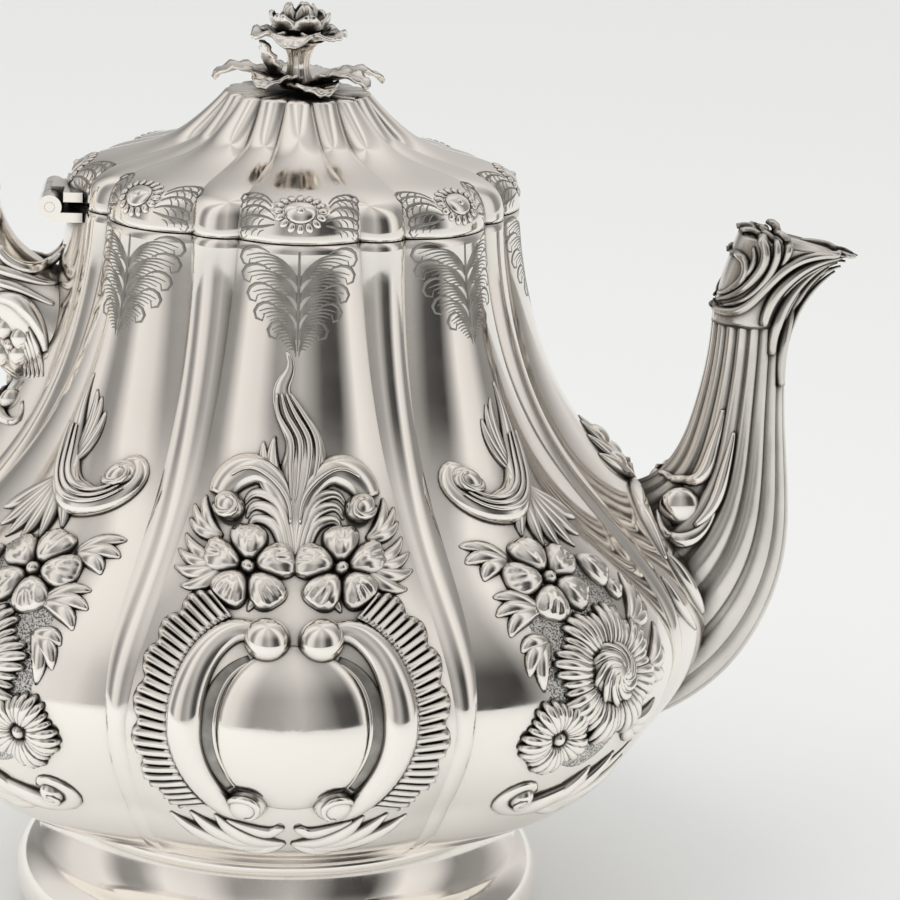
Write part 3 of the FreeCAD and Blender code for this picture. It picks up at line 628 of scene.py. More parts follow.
def strand(form, path, widths, plump=0.7, sides=10, pitch=0.9, up=(0, 0, 1)):
    """Rounded strand that swells and thins along a curve; up is the side that it stands up to."""
    lifted = [tuple(point) + (0.0,) * (3 - len(point)) for point in path]
    curve = smooth_curve(lifted)
    length = sum(np.linalg.norm(np.subtract(a, b)) for a, b in zip(lifted, lifted[1:]))
    steps = max(6, int(length / pitch))
    swell = smooth_curve([(place / (len(widths) - 1), width) for place, width in enumerate(widths)])
    ring, edges = first_ring(form, sides)
    for vert in ring:
        if vert.co.y < 0:
            vert.co.y *= STRAND_UNDERSIDE
    bmesh.ops.edgeloop_fill(form, edges=edges)
    before = Matrix.Identity(4)
    up = Vector(up)
    for step in range(steps + 1):
        share = step / steps
        ahead = Vector(curve(share + 0.01) - curve(share - 0.01)).normalized()
        side = ahead.cross(up).normalized()
        rise = side.cross(ahead)
        half = max(float(swell(share)[1]), THINNEST)
        place = Matrix.Translation(Vector(curve(share))) @ Matrix(
            ((side.x * half, rise.x * half * plump, ahead.x, 0),
             (side.y * half, rise.y * half * plump, ahead.y, 0),
             (side.z * half, rise.z * half * plump, ahead.z, 0),
             (0, 0, 0, 1)))
        if step:
            ring, edges = next_ring(form, edges)
        bmesh.ops.transform(form, matrix=place @ before.inverted(), verts=ring)
        before = place
    bmesh.ops.edgeloop_fill(form, edges=edges)


def around(spot, ring, turn):
    """Point on a circle round a spot."""
    return spot[0] + ring * math.cos(turn), spot[1] + ring * math.sin(turn)


def dome(share):
    """Height of a ball of radius 1, that share of the way out from its middle."""
    return math.sqrt(max(0.0, 1 - share ** 2))


# %% Flowers
def petal(form, spot, turn, length, width, height, ridges=5):
    """Plump petal, broad at its outer end, with a dent and fine ridges along it."""
    made = bmesh.ops.create_uvsphere(form, u_segments=40, v_segments=16, radius=1)["verts"]
    for vert in made:
        x, y, z = vert.co
        outer = max(0.0, min(1.0, 0.6 + x))
        crease = 0.16 * math.exp(-(y / 0.22) ** 2)
        ridge = 0.09 * (1 + math.cos(math.pi * ridges * (y + 1)))
        dent = outer * (crease + ridge)
        vert.co.z = z * (1 - dent) if z > 0 else z * UNDERSIDE / height
        vert.co.y = y * (0.86 + 0.26 * x)
        vert.co.x = x + 0.12 * abs(y) * max(0.0, x)
    set_down(form, made, spot, turn, (length / 2, width / 2, height))


def five_petals(form, spot, reach, start):
    """Open flower of five petals round a small boss."""
    for number in range(5):
        turn = start + number * 2 * math.pi / 5
        petal(form, around(spot, reach, turn), turn, reach * 1.5, reach * 1.6, 2.7)
    bead(form, spot, reach * 0.3, reach * 0.3, 2.3)


def closed_bud(form, spot, radius, height):
    """Ball of petals that are still folded round each other."""
    bead(form, spot, radius, radius, height, rows=14)
    for number in range(9):
        fold = []
        for step in range(5):
            turn = 2 * math.pi * number / 9 + 0.5 * step
            ring = radius * (0.98 - 0.2 * step)
            fold.append((*around(spot, ring, turn), height * dome(ring / radius) - 0.15))
        strand(form, fold, [0.5, 0.8, 0.7, 0.45, 0.2], plump=0.9, sides=8)


def shell_petals(form, spot, near, reach, petals, height):
    """Ring of round petals, each fluted like a shell."""
    flutes = 5
    count = petals * flutes
    for number in range(count):
        within = (number % flutes + 0.5) / flutes
        turn = 2 * math.pi * number / count
        far = reach * (0.82 + 0.18 * math.sin(math.pi * within))
        half = math.pi * far / count
        arch = height * (0.6 + 0.4 * math.sin(math.pi * within))
        path = [(*around(spot, ring, turn), lift)
                for ring, lift in ((near, arch * 0.5), ((near + far) / 2, arch), (far, 0.0))]
        strand(form, path, [half * 0.5, half * 0.85, half * 1.1, half * 0.6], plump=1.0, sides=8)


def ribbed_flower(form, spot, heart, reach, petals, height):
    """Large flower: fluted petals round a bud."""
    shell_petals(form, spot, heart * 0.8, reach, petals, height)
    closed_bud(form, spot, heart, height * 2.0)


# %% Shell edges, scroll ends and ribbed leaves
def ruffle(form, inner, outer, flutes, height):
    """Shell edge: a sheet between two lines, fluted and scalloped, whose rim goes back into the wall."""
    inside, outside = smooth_curve(inner), smooth_curve(outer)
    sheet = bmesh.ops.create_grid(form, x_segments=flutes * 6, y_segments=9, size=1)["verts"]
    for vert in sheet:
        along, out = (vert.co.x + 1) / 2, (vert.co.y + 1) / 2
        scallop = 0.80 + 0.20 * abs(math.sin(math.pi * along * flutes / 4))
        near, far = inside(along), outside(along)
        across, away = near + (far - near) * out * scallop
        wave = 0.54 + 0.46 * math.cos(2 * math.pi * flutes * along) * min(1.0, 0.3 + out)
        lift = height * (1 - 0.5 * out) * wave
        vert.co = (across, away, -0.25 if out > 0.999 else lift)
    faces = listed_once(face for vert in sheet for face in vert.link_faces)
    bmesh.ops.recalc_face_normals(form, faces=faces)
    bmesh.ops.solidify(form, geom=faces, thickness=0.4)


def volute(form, spot, radius, height, spin):
    """Round end of a scroll with a hooked line on it; spin is 1 or -1."""
    bead(form, spot, radius, radius, height, rows=12)
    curl = []
    for step in range(6):
        ring = radius * (0.98 - 0.13 * step)
        curl.append((*around(spot, ring, spin * step * 0.95), height * dome(ring / radius)))
    strand(form, curl, [0.4, 0.7, 0.7, 0.5, 0.3], plump=1.0)


def fan(form, base, tips, width, bow):
    """Ribbed leaf: strands that leave one base and bow out to their own tips."""
    for tip in tips:
        along, down = tip[0] - base[0], tip[1] - base[1]
        middle = (base[0] + along / 2 - bow * down, base[1] + down / 2 + bow * along)
        strand(form, [base, middle, tip], [0.5, width, 0.3], plump=0.85, sides=8)


# %% [markdown]
# ## Front lobe
#
# Two C-scrolls frame a plain shield. Ruffled shell edges stand outside them, two flowers sit above
# them, and acanthus leaves with a flame climb to the throat. One half is drawn and mirrored. Only the
# shield and the flame, which leans, are drawn whole.


# %% Front drawing, one side mirrored to the other
def front_half(form):
    strand(form, [(4.6, 72.3), (9.2, 70.4), (13.8, 73.4), (17.6, 80.3), (18.9, 87.6), (17.2, 94.8),
                  (13.4, 101.0), (9.0, 104.6), (6.4, 104.8)],
           [1.8, 2.4, 2.9, 3.3, 3.4, 3.2, 2.8, 2.4, 1.8], plump=0.85, sides=16)
    bead(form, (4.6, 72.0), 4.0, 4.0, 3.5, rows=14)
    volute(form, (7.4, 102.8), 3.5, 2.6, -1)
    strand(form, [(7.4, 76.0), (10.6, 78.6), (12.9, 83.2), (13.5, 88.4), (12.4, 93.4), (10.0, 97.6)],
           [0.25, 0.4, 0.45, 0.45, 0.4, 0.25], plump=0.9)
    ruffle(form,
           [(10.5, 68.4), (15.0, 71.8), (19.4, 78.6), (21.0, 85.4), (20.6, 91.6), (18.2, 97.8),
            (14.0, 103.0)],
           [(15.6, 62.6), (21.8, 68.4), (25.8, 74.6), (28.0, 81.6), (29.0, 88.6), (28.2, 95.4),
            (25.0, 101.8), (19.6, 105.0)], 27, 1.6)
    five_petals(form, (8.0, 58.7), 4.9, 0.94)
    strand(form, [(0.4, 57.5), (1.0, 49.0), (3.0, 42.4), (7.0, 39.8), (11.0, 41.6), (13.4, 45.6)],
           [0.6, 1.6, 2.6, 3.0, 2.9, 2.4], plump=0.72, sides=14)
    volute(form, (11.6, 47.2), 2.9, 2.7, 1)
    for lower, width in ((2.2, 1.5), (4.6, 1.4), (7.2, 1.3)):
        strand(form, [(0.5, 58.0), (1.2 + 0.1 * lower, 47.6 + lower), (4.0, 42.6 + lower),
                      (7.0, 42.0 + lower), (9.4 - 0.2 * lower, 44.4 + lower)],
               [0.4, width * 0.8, width, width, 0.3], plump=0.85)
    strand(form, [(0.8, 50.0, 1.4), (2.9, 43.0, 2.1), (7.0, 40.2, 2.3), (10.8, 42.0, 2.2)],
           [0.2, 0.4, 0.4, 0.2])
    fan(form, (12.4, 58.0), [(20.0, 53.6), (21.4, 56.8), (22.0, 60.2), (20.6, 63.6)], 1.6, 0.16)
    fan(form, (12.8, 53.0), [(16.2, 45.8), (18.6, 47.8), (19.4, 50.6)], 1.4, 0.16)
    fan(form, (2.2, 62.4), [(5.0, 66.6), (8.0, 66.8)], 1.3, -0.16)
    fan(form, (0.6, 114.6), [(13.0, 106.6), (17.6, 106.8), (21.6, 108.4), (16.0, 111.6), (10.0, 115.4)],
        1.9, 0.12)
    strand(form, [(11.0, 107.8), (6.8, 109.8), (3.2, 110.6), (1.4, 108.8)], [0.4, 1.2, 1.4, 0.8], plump=0.8)


def front_drawing():
    form = both_sides(front_half)
    bead(form, (0, 88.3), 15.6, 13.0, 1.5, math.pi / 2, rows=24)
    strand(form, [(0.0, 58.0), (0.2, 50.0), (0.9, 43.5), (1.6, 38.5), (1.3, 34.2), (-0.6, 30.6),
                  (-2.2, 27.6), (-2.5, 24.6), (-1.3, 22.0), (-1.2, 20.2), (-2.0, 18.6)],
           [0.8, 1.6, 2.8, 3.8, 4.2, 3.9, 3.1, 2.1, 0.9, 0.55, 0.3], plump=0.4, sides=16)
    for shift in (-2.2, -0.7, 0.8, 2.2):
        strand(form, [(0.3 + shift * 0.5, 46.0, 1.0), (1.4 + shift, 38.5, 1.3), (1.2 + shift, 34.0, 1.4),
                      (-0.7 + shift, 30.2, 1.3), (-2.2 + shift * 0.5, 26.0, 1.0)],
               [0.2, 0.5, 0.6, 0.5, 0.2], plump=0.9)
    fan(form, (0.2, 47.0), [(-6.6, 37.4), (-5.6, 34.6), (-3.6, 33.6)], 1.5, -0.14)
    return form


def front_channel_shade(form):
    """Dark, nearly flat strand that paints the shade of the channel between a C-scroll and the shield."""
    strand(form, [(7.6, 75.4), (11.2, 78.0), (14.0, 82.8), (14.9, 88.4), (13.6, 94.2), (10.4, 99.4)],
           [0.7, 1.3, 1.6, 1.7, 1.5, 0.7], plump=0.16)


FRONT = BODY.lay(front_drawing())
CHANNEL_SHADE = BODY.lay(both_sides(front_channel_shade))
for place, lobe in (("front", -90), ("back", 90)):
    make_piece(f"{place}_chasing", turned(FRONT, lobe), "pot", CAST_SILVER)
    # The channels beside the shield are painted shade: dark strands on the wall, not recesses in it.
    make_piece(f"{place}_painted_channel_shade", turned(CHANNEL_SHADE, lobe), "pot", ENGRAVED_AND_SHADE)

# %% [markdown]
# ## Side lobes
#
# Beside the front lobe a crescent scroll with a flame stands over an open flower, a great fluted
# flower and a smaller one, with a wave of leaves underneath. The lobe on the other side is its mirror.


# %% Side drawing
def side_drawing():
    form = bmesh.new()
    strand(form, [(-10.6, 43.4), (-12.0, 41.4), (-14.0, 43.6), (-13.2, 47.2), (-9.4, 49.8), (-4.6, 49.6),
                  (-0.8, 46.4), (1.0, 42.0), (2.4, 37.2), (3.4, 32.0), (3.2, 27.0)],
           [1.2, 2.0, 2.6, 3.2, 3.5, 3.4, 3.0, 2.6, 2.1, 1.3, 0.3], plump=0.75, sides=16)
    for inward in (-1.2, 0.0, 1.2):
        strand(form, [(-12.6 - inward * 0.8, 46.8 + inward * 0.3, 2.2), (-9.2, 49.6 + inward, 2.5),
                      (-4.6 + inward * 0.3, 49.4 + inward, 2.4),
                      (-0.8 + inward * 0.8, 46.2 + inward * 0.5, 2.1), (1.2 + inward, 41.6, 1.8),
                      (2.6 + inward * 0.8, 36.6, 1.4)], [0.2, 0.5, 0.6, 0.5, 0.4, 0.2])
    volute(form, (-11.2, 44.2), 3.0, 2.9, 1)
    fan(form, (0.8, 45.0), [(-2.6, 33.0), (-0.6, 30.6), (1.0, 29.6)], 1.2, -0.1)
    fan(form, (1.2, 46.5), [(11.0, 56.0), (8.4, 59.0), (5.2, 60.6), (1.2, 60.6), (-2.6, 59.0),
                            (-6.0, 56.0)], 1.7, 0.08)
    five_petals(form, (-6.2, 65.0), 5.0, -0.5)
    petal(form, (5.8, 65.6), 0.9, 8.4, 6.0, 2.5)
    petal(form, (8.6, 70.4), 0.9, 5.0, 4.0, 1.8)
    ribbed_flower(form, (-1.2, 84.4), 5.6, 13.0, 8, 1.7)
    shell_petals(form, (-14.0, 93.6), 1.4, 7.4, 5, 1.7)
    bead(form, (-14.0, 93.6), 1.5, 1.5, 2.0)
    for base, tips in (((-11.6, 60.4), [(-19.0, 56.6), (-19.8, 60.0), (-18.4, 63.6)]),
                       ((-11.0, 70.6), [(-18.6, 67.0), (-20.0, 70.6), (-19.4, 74.6)]),
                       ((-12.4, 76.4), [(-18.6, 77.6), (-18.8, 82.0), (-16.6, 85.0)]),
                       ((8.6, 77.0), [(14.0, 68.6), (16.4, 71.6), (17.2, 75.6)]),
                       ((10.4, 85.6), [(17.6, 79.6), (18.4, 84.0), (17.6, 88.6)]),
                       ((4.0, 94.6), [(14.6, 93.2), (12.6, 97.0), (8.6, 99.4)])):
        fan(form, base, tips, 1.7, 0.14)
    strand(form, [(-13.4, 106.4), (-15.2, 104.6), (-18.0, 105.6), (-18.6, 108.6), (-15.2, 110.6),
                  (-9.0, 109.6), (-2.0, 106.8), (5.0, 104.4), (10.0, 100.8)],
           [0.9, 1.5, 2.0, 2.4, 2.4, 2.2, 1.9, 1.4, 0.3], plump=0.7, sides=12)
    volute(form, (-15.4, 107.4), 2.2, 2.2, 1)
    fan(form, (-11.0, 111.4), [(-2.0, 103.0), (4.0, 101.4), (9.6, 104.4), (6.4, 108.0), (0.0, 112.0)],
        1.9, 0.1)
    return form


def side_ground():
    """Thin raised patch behind the flowers."""
    form = bmesh.new()
    bead(form, (-4.5, 80.0), 22.0, 11.5, 0.22, math.pi / 2 + 0.12, rows=24)
    return form


SIDE = side_drawing()
SIDE_GROUND = side_ground()
for mirrored, places in ((False, (("right_front", -45), ("left_back", 135))),
                         (True, (("left_front", -135), ("right_back", 45)))):
    chasing = BODY.lay(SIDE, mirrored)
    ground = BODY.lay(SIDE_GROUND, mirrored)
    for place, lobe in places:
        make_piece(f"{place}_chasing", turned(chasing, lobe), "pot", CAST_SILVER)
        make_piece(f"{place}_ground", turned(ground, lobe), "pot", STIPPLED)


# %% Spray over the root of the spout
def root_spray():
    form = bmesh.new()
    fan(form, (0.0, 61.0), [(-8.0, 50.0), (-5.4, 46.0), (-2.0, 43.6), (2.0, 43.6), (5.4, 46.0),
                            (8.0, 50.0)], 2.2, 0.0)
    bead(form, (0.0, 49.0), 3.4, 2.6, 2.6, math.pi / 2, rows=10)
    bead(form, (-3.6, 54.0), 3.0, 2.4, 2.4, math.pi / 2, rows=10)
    bead(form, (3.6, 54.0), 3.0, 2.4, 2.4, math.pi / 2, rows=10)
    return form


make_piece("root_spray", BODY.lay(root_spray()), "pot", CAST_SILVER)

# %% [markdown]
# ## Engraving
#
# Under the seam each lobe but the handle's carries a cut palmette. Above it the lid carries a low
# round flower between cut leaves. The cuts are drawn as very low, dark strands, because real grooves
# would need far more faces in the wall.

# %% Palmettes on the body
FINE = dict(plump=0.2, sides=6, pitch=1.1)


def palmette():
    """Cut acanthus: a middle rib and five pairs of curled lobes, each shaded with close strokes."""
    form = bmesh.new()
    strand(form, [(0, 1.0), (0, 10.0), (0, 18.4)], [0.2, 0.3, 0.1], **FINE)
    for side in (-1, 1):
        for reach, top in ((10.6, 0.8), (10.2, 3.8), (9.0, 7.0), (7.6, 10.2), (5.0, 13.2)):
            curl = [(side * reach * 0.5, top + 0.6), (side * (reach - 1.4), top), (side * reach, top + 1.0),
                    (side * (reach + 0.2), top + 2.6), (side * (reach - 1.2), top + 3.2),
                    (side * (reach - 1.6), top + 2.0)]
            strand(form, curl, [0.1, 0.26, 0.32, 0.3, 0.24, 0.1], **FINE)
            for stroke in range(8):
                share = stroke / 7
                tip = (side * reach * (0.92 - 0.62 * share), top + 1.6 + 3.4 * share)
                bend = (side * reach * (0.46 - 0.3 * share), top + 1.0 + 3.8 * share)
                strand(form, [(side * 0.3, top + 4.6 + 1.6 * share), bend, tip], [0.08, 0.2, 0.08], **FINE)
    return form


PALMETTE = BODY.lay(palmette())
for number, lobe in enumerate((-90, -45, -135, 45, 90, 135, 0)):
    make_piece(f"palmette_{number + 1}", turned(PALMETTE, lobe), "pot", ENGRAVED_AND_SHADE)


# %% Leaves and round flowers on the lid
def lid_leaves():
    """Cut leaves on both sides of a flower head."""
    form = bmesh.new()
    for side in (-1, 1):
        for high, low in ((2.6, 0.6), (4.6, 2.0), (6.6, 3.6), (8.4, 5.4), (9.8, 7.2)):
            strand(form, [(side * 4.6, (low + 6.0) / 2), (side * 7.6, high), (side * 11.2, low + 0.4),
                          (side * 10.6, low - 0.6), (side * 9.8, low + 0.2)], [0.12, 0.3, 0.28, 0.2, 0.1],
                   **FINE)
            for stroke in (0.25, 0.5, 0.75):
                start = 5.2 + 5.0 * stroke
                strand(form, [(side * start, high - 0.4), (side * (start + 1.0), (high + low) / 2),
                              (side * (start + 1.2), low + 0.4)], [0.06, 0.15, 0.06], **FINE)
    return form


def lid_rosette():
    """Raised boss in a ring of small beads."""
    form = bmesh.new()
    bead(form, (0, 6.0), 2.9, 2.4, 0.6, rows=10)
    bead(form, (0, 6.0), 1.0, 0.9, 1.0)
    for number in range(16):
        turn = 2 * math.pi * number / 16
        bead(form, (4.0 * math.cos(turn), 6.0 + 3.3 * math.sin(turn)), 1.0, 0.7, 0.4, turn, rows=6)
    return form


LID_LEAVES = LID.lay(lid_leaves())
LID_ROSETTE = LID.lay(lid_rosette())
for number in range(LOBES):
    make_piece(f"lid_flower_{number + 1}", turned(LID_LEAVES, number * SECTOR), "lid", ENGRAVED_AND_SHADE)
    make_piece(f"lid_rosette_{number + 1}", turned(LID_ROSETTE, number * SECTOR), "lid", CAST_SILVER)

# %% [markdown]
# ## Spout
#
# The spout is cast hollow with lengthwise reeds. A reeded ring is drawn once and carried up the
# middle line, smaller and smaller. Its root is drawn back to the wall that it is soldered to.

# %% Reeded spout
SPOUT_STATIONS = [(57.65, 59.4, 23, 15), (72.6, 68.6, 23, 15), (81.2, 78.6, 17.5, 12.5),
                  (85.2, 90, 11.8, 10), (86.5, 101.6, 8.9, 8.2), (87.4, 124, 7.3, 6.8)]
REEDS = 18
REED_COLUMNS = 8
REED_DEPTH = 0.12
SPOUT_BORE = 0.14
SPOUT_ROWS = 56
SPOUT_BITE = 0.5
FURTHEST = 60.0
HALVINGS = 24
spout_line = smooth_curve(SPOUT_STATIONS)


def sweep(columns, rows, place):
    """Skin of rings; place(share, turn) says where a ring's point goes."""
    form = bmesh.new()
    turns = form.verts.layers.float.new("turn")
    ring, edges = first_ring(form, columns)
    for vert in ring:
        vert[turns] = math.atan2(vert.co.y, vert.co.x)
    for row in range(rows + 1):
        if row:
            ring, edges = next_ring(form, edges)
        for vert in ring:
            vert.co = place(row / rows, vert[turns])
    return form


def spout_place(share, turn):
    """Up the reeded outside in the first half of the share, and down the bore in the second."""
    rise = min(1.0, 2 * share, 2 - 2 * share)
    reach, height, half, width = spout_line(rise)
    ahead = (spout_line(rise + 0.01) - spout_line(rise - 0.01))[:2]
    ahead /= np.linalg.norm(ahead)
    swell = 1 - REED_DEPTH * (1 - math.sqrt(abs(math.sin(turn * REEDS / 2))))
    if share > 0.5:
        swell -= SPOUT_BORE * min(1.0, 10 * rise)
    across = half * swell * math.cos(turn)
    return Vector((reach - ahead[1] * across, width * swell * math.sin(turn), height + ahead[0] * across))


def draw_back_to_wall(verts, bite):
    """Moves points along X until they are only the bite deep inside the wall."""
    for vert in verts:
        if BODY.depth(vert.co) <= bite:
            continue
        outwards = math.copysign(1.0, vert.co.x)
        low, high = 0.0, FURTHEST
        for halving in range(HALVINGS):
            middle = (low + high) / 2
            if BODY.depth(vert.co + Vector((outwards * middle, 0, 0))) > bite:
                low = middle
            else:
                high = middle
        vert.co.x += outwards * high


spout_form = sweep(REEDS * REED_COLUMNS, 2 * SPOUT_ROWS, spout_place)
draw_back_to_wall(spout_form.verts, SPOUT_BITE)
spout_shape = spout_form.copy()
make_piece("reeded_spout", spout_form, "pot", REEDED_SILVER, ["spout"])

# %% [markdown]
# ## Pouring lip
#
# The lip is a beak with leaves rolled back over its crest, and long drip leaves lie on the neck
# below it. The beak is one skin, up to the rim and back down inside. The leaves are strands laid
# on its sides by looking across at it, as a chaser would.

# %% The beak
LIP_OUTSIDE = [(80.1, 120.0, 94.7, 120.0, 6.9, 0.0), (81.0, 126.0, 95.6, 124.6, 7.2, 0.06),
               (82.6, 132.0, 99.6, 130.4, 7.6, 0.2), (84.4, 137.6, 107.4, 133.4, 7.4, 0.42)]
LIP_INSIDE = [(86.0, 137.4, 105.8, 133.8, 5.9, 0.42), (85.0, 131.0, 98.0, 130.0, 5.4, 0.2),
              (84.0, 124.0, 92.0, 124.0, 4.6, 0.0), LIP_OUTSIDE[0]]
lip_outside, lip_inside = smooth_curve(LIP_OUTSIDE), smooth_curve(LIP_INSIDE)
LIP_SPLIT = 0.55


def lip_place(share, turn):
    if share <= LIP_SPLIT:
        row = lip_outside(share / LIP_SPLIT)
    else:
        row = lip_inside((share - LIP_SPLIT) / (1 - LIP_SPLIT))
    back, front, width, taper = row[0:2], row[2:4], row[4], row[5]
    reach, height = (back + front) / 2 + (front - back) / 2 * math.cos(turn)
    return Vector((reach, width * math.sin(turn) * (1 - taper * math.cos(turn)), height))


lip_form = sweep(columns=64, rows=40, place=lip_place)
lip_shape = lip_form.copy()
make_piece("pouring_lip", lip_form, "pot", REEDED_SILVER, ["spout_mouth"])


# %% Laying strands on a side
ACROSS = (1, -1, 1)


def shape_of(piece):
    """Form of a finished piece, back in millimetres."""
    form = bmesh.new()
    form.from_mesh(piece.data)
    bmesh.ops.scale(form, vec=(1 / MM,) * 3, verts=form.verts)
    return form


class Side:
    """What is met when looking straight across, along +Y, at some shapes."""

    FAR = 200.0

    def __init__(self, *shapes):
        form = bmesh.new()
        for shape in shapes:
            join(form, shape)
        self.tree = BVHTree.FromBMesh(form)
        form.free()

    def spot(self, reach, height, sink=0.0):
        hit = self.tree.ray_cast(Vector((reach, -self.FAR, height)), Vector((0, 1, 0)))[0]
        if hit is None:
            hit = self.tree.find_nearest(Vector((reach, -2.0, height)))[0]
        return Vector((reach, hit.y + sink, height))

    def strand(self, form, path, widths, plump=0.8, sides=10):
        curve = smooth_curve(path)
        count = 3 * len(path)
        laid = [tuple(self.spot(*curve(step / count))) for step in range(count + 1)]
        strand(form, laid, widths, plump=plump, sides=sides, up=(0, -1, 0))

    def knob(self, form, spot, radius, squash=0.8, rows=10):
        made = ball(form, rows, radius)
        place = self.spot(spot[0], spot[1], sink=radius * 0.15)
        matrix = Matrix.Translation(place) @ Matrix.Diagonal((1, squash, 1, 1))
        bmesh.ops.transform(form, matrix=matrix, verts=made)


# %% Leaves on the lip and drip leaves on the neck
LIP_SIDE = Side(spout_shape, lip_shape)


def lip_leaves(form):
    def draw(form, path, widths):
        LIP_SIDE.strand(form, path, [0.78 * width for width in widths], plump=1.25)

    draw(form, [(80.4, 122.8), (83.6, 123.2), (87.0, 126.0), (90.0, 129.8), (94.6, 133.4), (100.6, 134.4),
                (106.4, 133.4)], [0.9, 1.2, 1.3, 1.4, 1.4, 1.2, 0.5])
    draw(form, [(84.2, 138.0), (87.2, 137.6), (88.4, 134.6), (87.0, 130.6), (84.2, 127.2), (80.6, 124.6)],
         [0.7, 1.2, 1.4, 1.3, 1.1, 0.4])
    draw(form, [(86.2, 135.6), (86.4, 133.0), (84.8, 130.0), (82.4, 127.4)], [0.5, 0.9, 0.9, 0.4])
    draw(form, [(88.2, 138.0), (90.2, 136.6), (90.2, 133.4), (88.0, 128.8), (84.6, 125.4), (81.6, 123.9)],
         [0.7, 1.1, 1.2, 1.1, 0.8, 0.4])
    draw(form, [(82.4, 133.6), (84.6, 133.2), (85.0, 130.8), (83.4, 128.0), (81.0, 125.8)],
         [0.7, 1.2, 1.1, 0.9, 0.4])
    draw(form, [(90.6, 138.4), (92.4, 137.2), (92.4, 134.8), (91.2, 132.4)], [0.6, 1.2, 1.2, 0.5])
    for path in ([(103.4, 133.4), (95.6, 131.4), (91.0, 127.2), (88.9, 120.8)],
                 [(102.6, 132.4), (95.6, 128.4), (92.0, 122.4), (91.0, 115.0)],
                 [(101.6, 131.4), (96.0, 125.2), (93.4, 117.6), (93.4, 108.6)]):
        draw(form, path, [0.5, 1.4, 1.6, 1.6, 1.2])
        draw(form, [(reach + 1.3, height - 0.9) for reach, height in path[:3]], [0.3, 0.7, 0.5])


make_piece("lip_leaves", both_sides(lip_leaves, ACROSS), "pot", REEDED_SILVER)

# %% [markdown]
# ## Root of the spout
#
# Where the spout leaves the body it is dressed with a ball in a curl and with leaves. They are laid
# on from the side, as the lip's leaves are, so that each lies on the spout or the wall, whichever is
# nearer to the eye there.

# %% Ball and leaves
body_shape = shape_of(body_wall)
ROOT_SIDE = Side(spout_shape, body_shape)


def root_leaves(form):
    draw, knob = ROOT_SIDE.strand, ROOT_SIDE.knob
    knob(form, (74.8, 85.0), 4.2, 0.5)
    draw(form, [(70.6, 84.6), (71.6, 80.8), (75.6, 79.8), (79.6, 82.4), (81.2, 87.0)],
         [0.5, 1.3, 1.6, 1.3, 0.5])
    draw(form, [(82.4, 104.0), (80.6, 96.0), (78.4, 91.0), (74.8, 89.8), (71.4, 90.4)],
         [0.5, 1.2, 1.5, 1.3, 0.5])
    draw(form, [(84.4, 100.0), (82.8, 92.0), (80.8, 86.0), (77.4, 82.4)], [0.4, 1.1, 1.3, 0.5])
    draw(form, [(65.6, 92.0), (66.2, 87.0), (68.6, 82.4), (71.0, 78.2)], [0.6, 2.0, 2.0, 0.4])
    draw(form, [(71.0, 79.0), (73.8, 75.4), (77.2, 70.0), (79.6, 65.8)], [0.6, 1.7, 1.6, 0.3])
    draw(form, [(69.6, 76.4), (72.4, 71.8), (75.4, 67.6), (77.2, 65.0)], [0.5, 1.4, 1.2, 0.3])


make_piece("root_leaves", both_sides(root_leaves, ACROSS), "pot", CAST_SILVER)

# %% [markdown]
# ## Upper handle socket
#
# The casting that carries the handle spreads over the shoulder in scrolls, ribs and a flower. The
# measured socket is plain, so a rounded boss is added where it meets the wall. The leaves are then
# laid over socket, boss and wall together.

# %% Boss on the shoulder
BOSS_MIDDLE = Vector((-49.5, 0, 114.0))
BOSS_HALVES = (7.0, 7.5, 9.0, 1)
BOSS_BITE = 0.5
BURIED_BITE = 0.9
boss = bmesh.new()
boss_matrix = Matrix.Translation(BOSS_MIDDLE) @ Matrix.Diagonal(BOSS_HALVES)
bmesh.ops.transform(boss, matrix=boss_matrix, verts=ball(boss, 16))
buried = {vert for vert in boss.verts if vert.co.x > BOSS_MIDDLE.x}
draw_back_to_wall(buried, BURIED_BITE)
draw_back_to_wall([vert for vert in boss.verts if vert not in buried], BOSS_BITE)
SOCKET_SIDE = Side(shape_of(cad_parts["upper_handle_socket"]), body_shape, boss)
make_piece("socket_boss", boss, "pot", CAST_SILVER)


# %% Leaves on the socket
def socket_leaves(form):
    draw, knob = SOCKET_SIDE.strand, SOCKET_SIDE.knob
    draw(form, [(-55.0, 132.0), (-52.0, 128.8), (-47.6, 127.8), (-44.2, 129.6), (-42.6, 132.4)],
         [0.9, 1.4, 1.5, 1.2, 0.4])
    draw(form, [(-56.0, 128.4), (-51.0, 126.8), (-46.6, 125.6), (-43.6, 125.4)], [0.8, 1.1, 1.0, 0.4])
    draw(form, [(-56.0, 125.8), (-51.0, 124.6), (-47.0, 123.0), (-44.4, 122.0)], [0.8, 1.0, 0.9, 0.4])
    draw(form, [(-55.4, 122.6), (-51.6, 122.4), (-48.6, 120.2), (-46.6, 117.0), (-45.6, 113.4)],
         [1.0, 1.7, 1.9, 1.7, 0.6])
    for number in range(5):
        draw(form, [(-48.8 - 0.5 * number, 117.6 - number), (-47.0 - 0.6 * number, 113.0 - 0.8 * number),
                    (-46.0 - 0.9 * number, 109.4 - 0.4 * number)], [0.3, 0.8, 0.25])
    for number in range(5):
        turn = 0.5 + number * 2 * math.pi / 5
        knob(form, around((-52.6, 113.8), 2.7, turn), 2.2, 0.5)
    knob(form, (-52.6, 113.8), 1.2, 1.2)
    knob(form, (-52.0, 103.4), 2.3, 0.5)
    draw(form, [(-55.6, 108.0), (-56.4, 104.0), (-54.0, 100.8), (-50.6, 101.2), (-49.8, 104.2)],
         [0.5, 1.2, 1.5, 1.2, 0.4])


make_piece("socket_leaves", both_sides(socket_leaves, ACROSS), "pot", CAST_SILVER)

# %% [markdown]
# ## Finial
#
# A cast flower stands on a short stalk among curling leaves. Each leaf is a sheet with a midrib and
# side veins, drawn flat and then bent along a curve that leaves the stalk.


